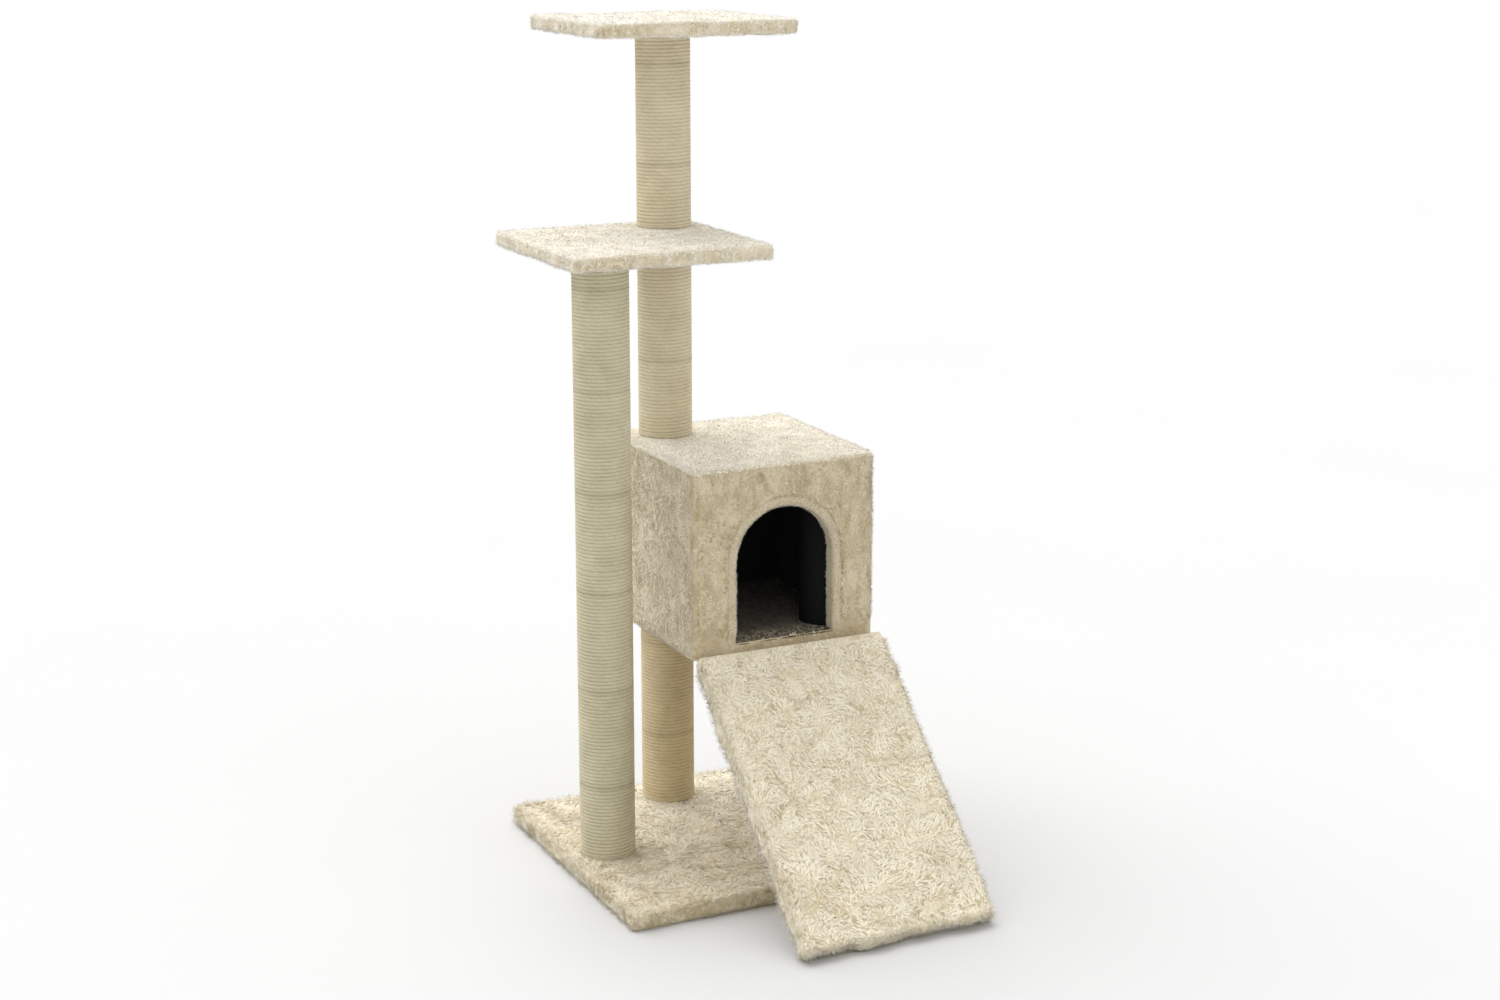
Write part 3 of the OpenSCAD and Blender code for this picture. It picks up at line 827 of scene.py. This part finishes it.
def cover(name, cloth, board, held_area, tuft, node, material, pile, body="tree", place=None):
    points = cloth.points
    if place is not None:
        points = place(points, cloth.normals)[0]
    points[:, 2] = np.maximum(points[:, 2], FLOOR_GAP)
    obj = piece(name, points, [cloth.quads], body, [node], [material])


def board_covers(name, cloth, lo, hi, split, depth, board, tuft, node, pile, **where):
    """A board's backing as two sheets: one over its top and edges, and one below split."""
    above = cloth.cut(lambda p: p[:, 2] < split)
    below = cloth.cut(lambda p: p[:, 2] >= split)
    for made, ending, turned in ((above, "", depth), (below, "_under", 0)):
        cover(f"{name}_cloth{ending}", made, board, flat_size(lo, hi, turned), tuft, node,
              BACK_CREAM, [pile], **where)


def flat_size(lo, hi, depth):
    """The rectangle that covers the top of a box and turns down its sides."""
    return (hi[0] - lo[0] + 2 * depth, hi[1] - lo[1] + 2 * depth)


BASE_STEP = 3.2 * MM
EDGE_R = 3.5 * MM
TURN_UNDER = 28 * MM
WAVE_DEPTH = 2.6 * MM

# How far a cloth may dip towards its board, and how far up its rounded edge the lower sheet ends
DIP = 0.3 * PLUSH_T
SPLIT = 0.6


def make_base():
    """The long plush of the base, turned under the board."""
    lo, hi = corners("base_plush")
    radius = np.full(3, EDGE_R)
    cloth = box_cloth(lo, hi, (*EVERY_SIDE, "top", "bottom"), radius, radius, BASE_STEP)
    inner_lo, inner_hi = lo + TURN_UNDER, hi - TURN_UNDER

    def under_felt(points):
        inside = (points[:, :2] > inner_lo[:2]) & (points[:, :2] < inner_hi[:2])
        return inside.all(axis=1) & (points[:, 2] < BASE_TOP / 2)

    cloth = cloth.cut(under_felt)
    above = smooth(cloth.points[:, 2], 0.0, 8 * MM)
    edge = smooth(np.abs(cloth.points[:, :2]).max(axis=1), hi[0] - 10 * MM, hi[0])
    wave = WAVE_DEPTH * EDGE_WAVES(cloth.points) * edge
    cloth = cloth.raised(over_board(long_height(cloth.points) + wave) * above)
    posts = (TALL, REAR, FRONT)

    def bare(points):
        foot = near_posts(points, posts, POST_R - 1 * MM) & (points[:, 2] > BASE_TOP / 2)
        return foot | (points[:, 2] < 2 * MM)

    # The base's pile sits at a darker level than the ramp's: painted shade over the base.
    pile = pile_piece(
        "base_pile", cloth, LONG, 101, "base_plush", PILE_CREAM, long_tone(lo, hi, 0.5, 0.6),
        bare=bare, tall=long_tall, proud=long_proud,
    )
    size = flat_size(lo, hi, BASE_TOP + TURN_UNDER)
    cover("base_cloth", cloth, "base_board", size, LONG, "base_plush", BACK_CREAM, [pile])


FELT_STEP = 4 * MM


def make_felt():
    """The felt under the base, with its three access holes."""
    lo, hi = corners("base_felt")
    hi[2] = lo[2] + 2.4 * MM
    radius = np.array([1.0, 1.0, 1.0]) * MM
    cloth = box_cloth(lo, hi, (*EVERY_SIDE, "bottom"), radius, radius * (1, 1, 0), FELT_STEP)
    for post in (TALL, REAR, FRONT):
        away = cloth.points[:, :2] - post
        distance = np.linalg.norm(away, axis=1)
        ring = np.abs(distance - FELT_HOLE_R) < FELT_STEP * 0.72
        cloth.points[ring, :2] = post + away[ring] / distance[ring, None] * FELT_HOLE_R
    cloth = cloth.cut(lambda p: near_posts(p, (TALL, REAR, FRONT), FELT_HOLE_R))
    cloth = cloth.raised(-0.25 * MM * (1 + SMALL_LUMPS(cloth.points)))
    obj = piece("felt_sheet", cloth.points, [cloth.quads], "tree", ["base_felt"], [felt()])


def make_ramp():
    """The long plush all round the ramp, built level and swung down."""
    radius = np.full(3, EDGE_R)
    sides = (*EVERY_SIDE, "top", "bottom")
    cloth = box_cloth(RAMP_LO, RAMP_HI, sides, radius, radius, BASE_STEP)

    def hinges(points):
        under = points[:, 2] < RAMP_LO[2] + 2 * MM
        end = points[:, 1] > RAMP_HI[1] - HINGE_LEAF - 3 * MM
        return under & end & by_hinges(points, 3 * MM)

    def place(points, normals):
        return swing(points, PIN), swing(normals)

    far = smooth(RAMP_HI[1] - cloth.points[:, 1], 4 * MM, 16 * MM)
    end = 0.5 + 2.5 * smooth(RAMP_LO[1] + 30 * MM - cloth.points[:, 1], 0, 30 * MM)
    wave = wave_on_edges(cloth.points, RAMP_LO, RAMP_HI) * end
    height = over_board(long_height(cloth.points) + wave)
    height = np.where(hinges(cloth.points), 0.0, height * far - 0.4 * MM * (1 - far))
    cloth = cloth.raised(height)

    def bare(points):
        end = points[:, 1] > RAMP_HI[1] - 3.5 * MM
        return hinges(points) | end

    def tall(points):
        start = smooth(RAMP_HI[1] - points[:, 1], 3 * MM, 14 * MM)
        return long_tall(points) * (0.45 + 0.55 * start)

    # The ramp's pile sits at a lighter level than the base's: painted light over the ramp.
    pile = pile_piece(
        "ramp_pile", cloth, LONG, 131, "ramp_plush", PILE_CREAM,
        long_tone(RAMP_LO, RAMP_HI, 0.9), "ramp", place, bare, tall=tall, proud=long_proud,
        calm=lambda p: p[:, 1] > RAMP_HI[1] - 12 * MM,
    )
    board_covers("ramp", cloth, RAMP_LO, RAMP_HI, RAMP_LO[2] + EDGE_R * SPLIT, RAMP_T,
                 "ramp_board", LONG, "ramp_plush", pile, body="ramp", place=place)


def over_board(height):
    """Heights kept clear of the board, whose sharp edges come nearer than PLUSH_T to the cloth."""
    return np.maximum(height, -DIP)


def wave_on_edges(points, lo, hi):
    """Waves along the outer edges of a board in plan."""
    gap = np.minimum(points[:, :2] - lo[:2], hi[:2] - points[:, :2]).min(axis=1)
    return WAVE_DEPTH * EDGE_WAVES(points) * (1 - smooth(gap, 0, 10 * MM))


SLAB_STEP = 3.2 * MM
SLAB_R = 2.5 * MM


def make_platform(name, node, board, seed, posts_above, posts_below):
    """A platform's short plush: a cloth over its top and edges, and one below."""
    lo, hi = corners(node)
    radius = np.full(3, SLAB_R)
    cloth = box_cloth(lo, hi, (*EVERY_SIDE, "top", "bottom"), radius, radius, SLAB_STEP)
    height = short_height(cloth.points) + 0.5 * wave_on_edges(cloth.points, lo, hi)
    cloth = cloth.raised(height)
    middle = (lo[2] + hi[2]) / 2

    def bare(points):
        above = near_posts(points, posts_above, POST_R) & (points[:, 2] > middle)
        below = near_posts(points, posts_below, POST_R) & (points[:, 2] < middle)
        return above | below

    tone = slab_tone(hi[2], lo[2], 3 * MM)
    pile = pile_piece(f"{name}_pile", cloth, SHORT, seed, node, PILE_LIT_PALE, tone, bare=bare)
    board_covers(name, cloth, lo, hi, lo[2] + SLAB_R * SPLIT, hi[2] - lo[2], board, SHORT,
                 node, pile)


# ---- The house ----

HOUSE_STEP = 3 * MM
HOUSE_R = 6 * MM
ROOF_LAP = 5 * MM


def by_ramp(points):
    """Which points are on the low strip of the house's front that the raised ramp comes near."""
    return (points[:, 1] < HOUSE_LO[1] + 8 * MM) & (points[:, 2] < HOUSE_LO[2] + RAMP_T + 6 * MM)


def flat_by_ramp(points):
    """How far the short plush stands up: little where the raised ramp comes near."""
    return 1 - 0.7 * by_ramp(points)


BY_RAMP = {"proud": flat_by_ramp, "calm": by_ramp}


def in_door(points, grow):
    """Which points are inside the doorway, grown outwards, above the sill."""
    across = np.abs(points[:, 0] - DOOR_X)
    arch = np.hypot(across, points[:, 2] - ARCH_Z) < DOOR_R + grow
    straight = (across < DOOR_R + grow) & (points[:, 2] < ARCH_Z)
    return (arch | straight) & (points[:, 2] > SILL)


def seam_line(points):
    """1 along the upright seam by the house's front left corner."""
    away = np.abs(points[:, 0] - (HOUSE_LO[0] + 4 * MM))
    return np.where(points[:, 1] < HOUSE_LO[1] + 3 * MM, 1 - smooth(away, 0.8 * MM, 4 * MM), 0)


def make_house_walls():
    """The short plush round the four walls, with a seam at the front left corner."""
    lo = HOUSE_LO + (0, 0, ROOF_LAP)
    hi = np.array([HOUSE_HI[0], HOUSE_HI[1], ROOF_TOP - ROOF_LAP])
    radius = np.array([HOUSE_R, HOUSE_R, 0])
    cloth = box_cloth(lo, hi, EVERY_SIDE, radius, radius, HOUSE_STEP)
    seam = seam_line(cloth.points)
    low = smooth(lo[2] + 20 * MM - cloth.points[:, 2], 0, 15 * MM)
    height = short_height(cloth.points) + 1.2 * MM * EDGE_WAVES(cloth.points) * low
    height = np.where(by_ramp(cloth.points), np.minimum(height, 0.2 * MM), height)
    cloth = cloth.raised(height - 1.6 * MM * seam)

    def doorway(points):
        return in_door(points, 5 * MM) & (points[:, 1] < HOUSE_LO[1] + HOUSE_R)

    cloth = cloth.cut(doorway)

    def bare(points):
        front = points[:, 1] < HOUSE_LO[1] + HOUSE_R
        return (in_door(points, RIM_W + 3.5 * MM) & front) | (seam_line(points) > 0.8)

    def tone(points):
        # Painted shade: the wall's pile darker in a ring round the door rim.
        groove_shade = in_door(points, RIM_W + 6.5 * MM) & (points[:, 1] < HOUSE_LO[1] + HOUSE_R)
        return shaded_streak_tone(points) - 0.8 * seam_line(points) - 0.6 * groove_shade

    pile = pile_piece(
        "house_wall_pile", cloth, SHORT, 161, "house_wall_plush", PILE_SHADED_BEIGE, tone, bare=bare,
        lean=(0, 0, -0.35), tall=lambda p: 1 - 0.6 * seam_line(p), **BY_RAMP,
    )
    width = 2 * (hi[0] - lo[0] + hi[1] - lo[1])
    cover("house_wall_cloth", cloth, "house_front_wall", (width, hi[2] - lo[2]), SHORT,
          "house_wall_plush", BACK_SHADED_BEIGE, [pile])


def make_house_lid(name, node, board, side, span, seed, posts, tones, backing, bare_too=None):
    """The short plush of the roof or of the underside, lapped onto the walls."""
    lo = np.array([HOUSE_LO[0], HOUSE_LO[1], span[0]])
    hi = np.array([HOUSE_HI[0], HOUSE_HI[1], span[1]])
    flat = 4 * MM
    plan = np.array([HOUSE_R, HOUSE_R, 0])
    round_lo = plan + (0, 0, flat if side == "bottom" else 0)
    round_hi = plan + (0, 0, flat if side == "top" else 0)
    cloth = box_cloth(lo, hi, (*EVERY_SIDE, side), round_lo, round_hi, HOUSE_STEP)
    height = short_height(cloth.points)
    if bare_too is not None:
        height = np.minimum(height, 0)
    cloth = cloth.raised(height)

    def bare(points):
        away = near_posts(points, posts, POST_R)
        return away | bare_too(points) if bare_too is not None else away

    pile = pile_piece(
        f"{name}_pile", cloth, SHORT, seed, node, tones, short_tone, bare=bare, **BY_RAMP
    )
    size = flat_size(lo, hi, span[1] - span[0])
    piles = [pile] if side == "top" else [pile, make_fringe()]
    cover(f"{name}_cloth", cloth, board, size, SHORT, node, backing, piles)


def under_hinges(points):
    """Roots near the hinges under the house's front edge."""
    return by_hinges(points, 4 * MM) & (points[:, 1] < HOUSE_LO[1] + HINGE_LEAF + 3 * MM)


FRINGE_LENGTH = 9 * MM
FRINGE_PER_M = 1500


def make_fringe():
    """Pile hanging from the house's lower front edge, which closes the gap behind the ramp."""
    rng = np.random.default_rng(341)
    gap = HINGE_L / 2 + 2 * MM
    stops = [HOUSE_LO[0] + HOUSE_R, *(x + d for x in HINGE_XS for d in (-gap, gap)),
             HOUSE_HI[0] - HOUSE_R]
    spans = zip(stops[::2], stops[1::2])
    xs = np.concatenate([rng.uniform(a, b, int((b - a) * FRINGE_PER_M)) for a, b in spans])
    count = len(xs)
    ys = HOUSE_LO[1] + rng.uniform(1.5, 3.5, count) * MM
    root = np.stack([xs, ys, np.full(count, HOUSE_LO[2] + 0.5 * MM)], 1)
    out = np.tile([0.0, -1.0, 0.0], (count, 1))
    along = unit(np.array([0, 0, -1]) + rng.normal(0, 0.15, (count, 3)) * (1, 0, 0))
    length = FRINGE_LENGTH * rng.uniform(0.75, 1.1, count)
    width = np.full(count, SHORT.width)
    jitter = rng.uniform(0.8, 1.1, (count, SHORT.blades))
    loose = Cloth(root, None, out)
    points, faces, normals = tuft_mesh(
        loose, SHORT, root, out, along, length, width, jitter, np.ones(count)
    )
    shades = np.concatenate([np.repeat(tone_index(shaded_streak_tone(root), TONES), SHORT.blades)] * 2)
    return piece("house_fringe", points, faces, "tree", ["house_floor_plush"], PILE_SHADED_BEIGE,
                 normals, shades)


RIM_STEP = 3 * MM


def make_rim():
    """The soft strip that covers the door's edge and stands out of the front as a bead."""
    front, back = RIM_LO[1], RIM_HI[1]
    bead = RIM_HI[0] - DOOR_X - DOOR_R
    wall = HOUSE_LO[1]
    profile = np.array([
        (0.0, back), (0.1 * MM, (back * 2 + wall) / 3), (0.1 * MM, (back + wall * 2) / 3),
        (0.2 * MM, wall + 1 * MM), (0.9 * MM, wall - 1 * MM), (2.6 * MM, front + 0.1 * MM),
        (bead / 2, front - 0.5 * MM), (bead - 1.4 * MM, front - 0.2 * MM),
        (bead + 0.9 * MM, front + 0.7 * MM), (bead + 2 * MM, wall - 0.7 * MM),
        (bead + 2 * MM, wall + 0.5 * MM),
    ])
    rise = ARCH_Z - SILL
    length = 2 * rise + math.pi * DOOR_R
    along = np.linspace(0, length, int(length / RIM_STEP) + 1)
    turn = np.clip((along - rise) / DOOR_R, 0, math.pi)
    side = np.stack([-np.cos(turn), np.sin(turn)], 1)
    foot = np.stack([np.full(len(along), DOOR_X), np.full(len(along), ARCH_Z)], 1)
    foot[:, 1] -= np.maximum(rise - along, 0) + np.maximum(along - rise - math.pi * DOOR_R, 0)
    out = foot[:, None, :] + side[:, None, :] * (DOOR_R + profile[None, :, :1])
    points = np.stack([out[..., 0], np.broadcast_to(profile[:, 1], out.shape[:2]), out[..., 1]], -1)
    rows, columns = out.shape[:2]
    quads = strip_quads(rows, columns)
    cloth = Cloth(points.reshape(-1, 3), quads, np.zeros((rows * columns, 3)))
    cloth = cloth.raised(np.zeros(rows * columns))
    cloth = cloth.raised(0.5 * MM * SMALL_LUMPS(cloth.points))
    low = by_ramp(cloth.points)
    cloth.points[low, 1] = np.maximum(cloth.points[low, 1], wall - 1.4 * MM)
    # The rim's pile is lighter than the wall's: a painted highlight on the raised bead.
    pile = pile_piece(
        "door_rim_pile", cloth, RIM, 191, "door_rim", PILE_SHADED_BEIGE,
        lambda p: 0.9 + 0.2 * TONE_SPOTS(p) + 0.25 * TONE_FLECKS(p), **BY_RAMP,
    )
    strip = np.linalg.norm(np.diff(profile, axis=0), axis=1).sum()
    cover("door_rim_cloth", cloth, "house_front_wall", (length + 2 * bead, strip), RIM,
          "door_rim", BACK_SHADED_BEIGE, [pile])


LINING_STEP = 7 * MM


def make_lining():
    """The black lining on the inside of the walls and under the roof, a little wrinkled."""
    lo, hi = corners("house_lining")
    inset = 0.8 * MM
    lo, hi = lo + (inset, inset, 0), hi - inset
    radius = np.array([3.0, 3.0, 0.0]) * MM
    sides = (*EVERY_SIDE, "top")
    cloth = box_cloth(lo, hi, sides, radius, radius + (0, 0, 3 * MM), LINING_STEP)
    wrinkle = noise_field(31, 30 * MM)
    cloth = cloth.raised(-0.5 * MM * (1 + wrinkle(cloth.points * (1, 1, 0.4))))

    def doorway(points):
        return in_door(points, 0.5 * MM) & (points[:, 1] < lo[1] + 4 * MM)

    cloth = cloth.cut(doorway)
    obj = piece("lining_sheet", cloth.points, [cloth.quads[:, ::-1]], "tree", ["house_lining"],
                [black_cloth()])


def make_carpet():
    """The short carpet on the floor, with a tongue over the sill that rolls down in front."""
    lo, hi = CARPET_LO.copy(), CARPET_HI.copy()
    lo[1] = HOUSE_LO[1] - 0.3 * MM
    hi[:2] = hi[:2] - 1 * MM
    radius = np.array([0, 2.2, 2.2]) * MM
    cloth = box_cloth(lo, hi, ("front", "top"), radius * (0, 1, 0), radius * (0, 0, 1), 2.4 * MM)
    tongue_end = corners("house_lining")[0][1]

    def beside(points):
        out = np.abs(points[:, 0] - DOOR_X) > DOOR_R + 1 * MM
        return out & (points[:, 1] < tongue_end)

    cloth = cloth.cut(beside)
    cloth = cloth.raised(0.35 * MM * SMALL_LUMPS(cloth.points))

    # Painted shade: the carpet darkens further inside the house and stays light by the door.
    def shade_indoors(points):
        inside = smooth(points[:, 1], HOUSE_LO[1] + 1 * MM, HOUSE_LO[1] + 60 * MM)
        return 0.9 - 0.8 * inside + 0.05 * TONE_SPOTS(points)

    pile = pile_piece(
        "carpet_pile", cloth, CARPET, 211, "house_carpet", PILE_CARPET, shade_indoors,
        bare=lambda p: near_posts(p, (REAR, FRONT), POST_R - ROPE_T), **BY_RAMP,
    )
    area = cloth.areas().sum()
    obj = piece("carpet_cloth", cloth.points, [cloth.quads], "tree", ["house_carpet"],
                [BACK_CARPET])


# ---- The sisal posts ----

ROPE_PITCH = 4.63 * MM
ROPE_SAMPLES = 120
ROPE_ARC = 4
ROPE_FLAT = 0.55
STRAND = 6 * MM


def wind_rope(name, node, seed, material):
    """Sisal rope wound tight round a post's tube, as one long strip of its outer side."""
    lo, hi = corners(node)
    axis = (lo[:2] + hi[:2]) / 2
    turns = max(1, round((hi[2] - lo[2]) / ROPE_PITCH))
    pitch = (hi[2] - lo[2]) / turns
    thick = pitch / 2
    turn = np.linspace(0, turns + 1, (turns + 1) * ROPE_SAMPLES + 1)
    middle = np.clip(lo[2] + thick + (turn - 1) * pitch, lo[2] + thick, hi[2] - thick)
    angle = turn * 2 * math.pi
    centre_r = POST_R - thick
    unevenness = noise_field(seed, 9 * MM)
    run = turn * 2 * math.pi * centre_r
    twist = 0.025 * np.cos(2 * math.pi * run / STRAND)
    rough = 0.05 * unevenness(np.stack([run, middle, middle * 0], 1))
    ends = 0.4 + 0.6 * smooth(np.minimum(turn, turns + 1 - turn), 0, 0.12)
    size = thick * (1 + twist + rough) * ends
    arc = np.linspace(-1.45, 1.45, ROPE_ARC + 1)
    radius = centre_r + size[:, None] * (1 - ROPE_FLAT * (1 - np.cos(arc)))
    height = middle[:, None] + size[:, None] * np.sin(arc) * 1.02
    points = np.stack([
        axis[0] + radius * np.cos(angle)[:, None],
        axis[1] + radius * np.sin(angle)[:, None],
        np.clip(height, lo[2], hi[2]),
    ], -1).reshape(-1, 3)
    columns = ROPE_ARC + 1
    quads = strip_quads(len(turn), columns)
    obj = piece(name, points, [quads], "tree", [node], [material])
    layer = obj.data.uv_layers.new(name="rope")
    across = np.broadcast_to(np.linspace(0, 1, columns), (len(turn), columns))
    plan = np.stack([np.broadcast_to(run[:, None], across.shape), across], -1).reshape(-1, 2)
    layer.data.foreach_set("uv", plan[quads.ravel()].astype(np.float32).ravel())


def make_posts():
    """The six rope windings, in three tones of one sisal that are painted light and shade on each
    post.
    """
    first = BASE_TOP + 97 * MM
    # Three copies of one sisal, lighter and darker by how the light falls on each post: painted
    # light and shade.
    tall = sisal("sisal_tall", srgb(207, 199, 171), srgb(145, 137, 109), first)
    rear = sisal("sisal_rear", srgb(218, 208, 181), srgb(157, 145, 115), first)
    low = sisal("sisal_low", srgb(215, 200, 165), srgb(155, 138, 104), first)
    wind_rope("tall_lower_rope", "tall_post_lower_sisal", 41, tall)
    wind_rope("tall_upper_rope", "tall_post_upper_sisal", 42, tall)
    for seed, label, material in (
        (43, "rear_lower", low), (44, "front_lower", low), (45, "rear_middle", rear),
        (46, "rear_upper", rear),
    ):
        wind_rope(f"{label}_rope", f"{label}_sisal", seed, material)


# ---- CAD nodes that stay: they only get materials ----


def paint(material, *names):
    """Gives CAD nodes one material."""
    for name in names:
        mesh = frame["nodes"][name].data
        mesh.materials.clear()
        mesh.materials.append(material)


def paint_cad():
    """Materials of the boards, tubes, plugs and steel parts."""
    paint(chipboard(), "base_board", "middle_board", "top_board", "ramp_board", "house_floor",
          "house_roof", "house_left_wall", "house_right_wall", "house_back_wall",
          "house_front_wall")
    paint(zinc_steel(), "base_bolts", "base_washers", "tall_post_stud", "board_studs",
          "platform_bolts", "platform_washers", "house_screws", "hinge_house_leaves",
          "hinge_ramp_leaves", "hinge_pins", "hinge_house_screws", "hinge_ramp_screws")
    paint(plug_plastic(), "tall_post_lower_plugs", "tall_post_upper_plugs", "lower_post_plugs",
          "house_tube_plugs", "rear_post_plugs")
    brown = (srgb(176, 140, 96), srgb(128, 96, 60))
    black = (srgb(6, 8, 8), srgb(16, 18, 17))
    for label, axis, names in (
        ("tall", TALL, ("tall_post_lower_tube", "tall_post_upper_tube")),
        ("rear", REAR, ("rear_lower_tube", "rear_middle_tube", "rear_upper_tube")),
        ("front", FRONT, ("front_lower_tube",)),
    ):
        paint(wound_card(f"cardboard_{label}", *brown, axis, 90 * MM, (0.75, 0.92)), *names)
    paint(wound_card("black_card_rear", *black, REAR, 70 * MM, (0.8, 0.95)), "house_rear_tube")
    paint(wound_card("black_card_front", *black, FRONT, 70 * MM, (0.8, 0.95)), "house_front_tube")


# ---- Studio ----


def make_floor():
    """The plain pale floor."""
    mesh = bpy.data.meshes.new("studio_floor")
    size = 30.0
    ring = [(size * math.cos(a), size * math.sin(a), 0) for a in np.linspace(0, math.tau, 65)[:-1]]
    mesh.from_pydata(ring, [], [list(range(len(ring)))])
    mesh.materials.append(floor_paint())
    add("studio_floor", mesh)


# The overhead light: how widely it comes in, how strong it is, and how it leans
OVERHEAD_SPREAD = 70
OVERHEAD_POWER = 2.6
OVERHEAD_TURN = (-34, -8, 0)


def make_light():
    """A white surround and one wide soft light from above."""
    world = bpy.data.worlds.new("studio")
    bpy.context.scene.world = world
    world.use_nodes = True
    background = world.node_tree.nodes["Background"]
    background.inputs["Color"].default_value = (1, 1, 1, 1)
    background.inputs["Strength"].default_value = 1.0
    data = bpy.data.lights.new("overhead", "SUN")
    data.angle = math.radians(OVERHEAD_SPREAD)
    data.energy = OVERHEAD_POWER
    light = add("overhead", data)
    light.rotation_euler = [math.radians(turn) for turn in OVERHEAD_TURN]
    bpy.context.scene.view_settings.view_transform = "Standard"


# Fitted to the photograph: place, turn about Z, tilt below level, lens and vertical shift
CAMERA_AT = (-1.287, -2.727, 1.227)
CAMERA_TURN = 26.16
CAMERA_TILT = 13.17
CAMERA_LENS = 59.5
CAMERA_SHIFT = -0.03


def make_camera():
    """The camera at the photograph's viewing angle."""
    data = bpy.data.cameras.new("camera")
    data.lens = CAMERA_LENS
    data.sensor_width = 36
    data.shift_y = CAMERA_SHIFT
    camera = add("camera", data)
    camera.location = CAMERA_AT
    camera.rotation_euler = (
        math.radians(90 - CAMERA_TILT), 0, math.radians(-CAMERA_TURN)
    )
    bpy.context.scene.camera = camera


make_camera()
make_floor()
make_light()
paint_cad()
make_posts()
make_base()
make_felt()
make_ramp()
make_platform("middle", "middle_plush", "middle_board", 231, (REAR,), (TALL, REAR))
make_platform("top", "top_plush", "top_board", 261, (), (REAR,))
make_house_walls()
make_house_lid("house_roof", "house_roof_plush", "house_roof", "top",
               (ROOF_TOP - ROOF_LAP, ROOF_TOP), 291, (REAR,), PILE_LIT_PALE, BACK_CREAM)
make_house_lid("house_floor", "house_floor_plush", "house_floor", "bottom",
               (HOUSE_LO[2], HOUSE_LO[2] + ROOF_LAP), 321, (REAR, FRONT), PILE_SHADED_BEIGE,
               BACK_SHADED_BEIGE, under_hinges)
make_rim()
make_lining()
make_carpet()
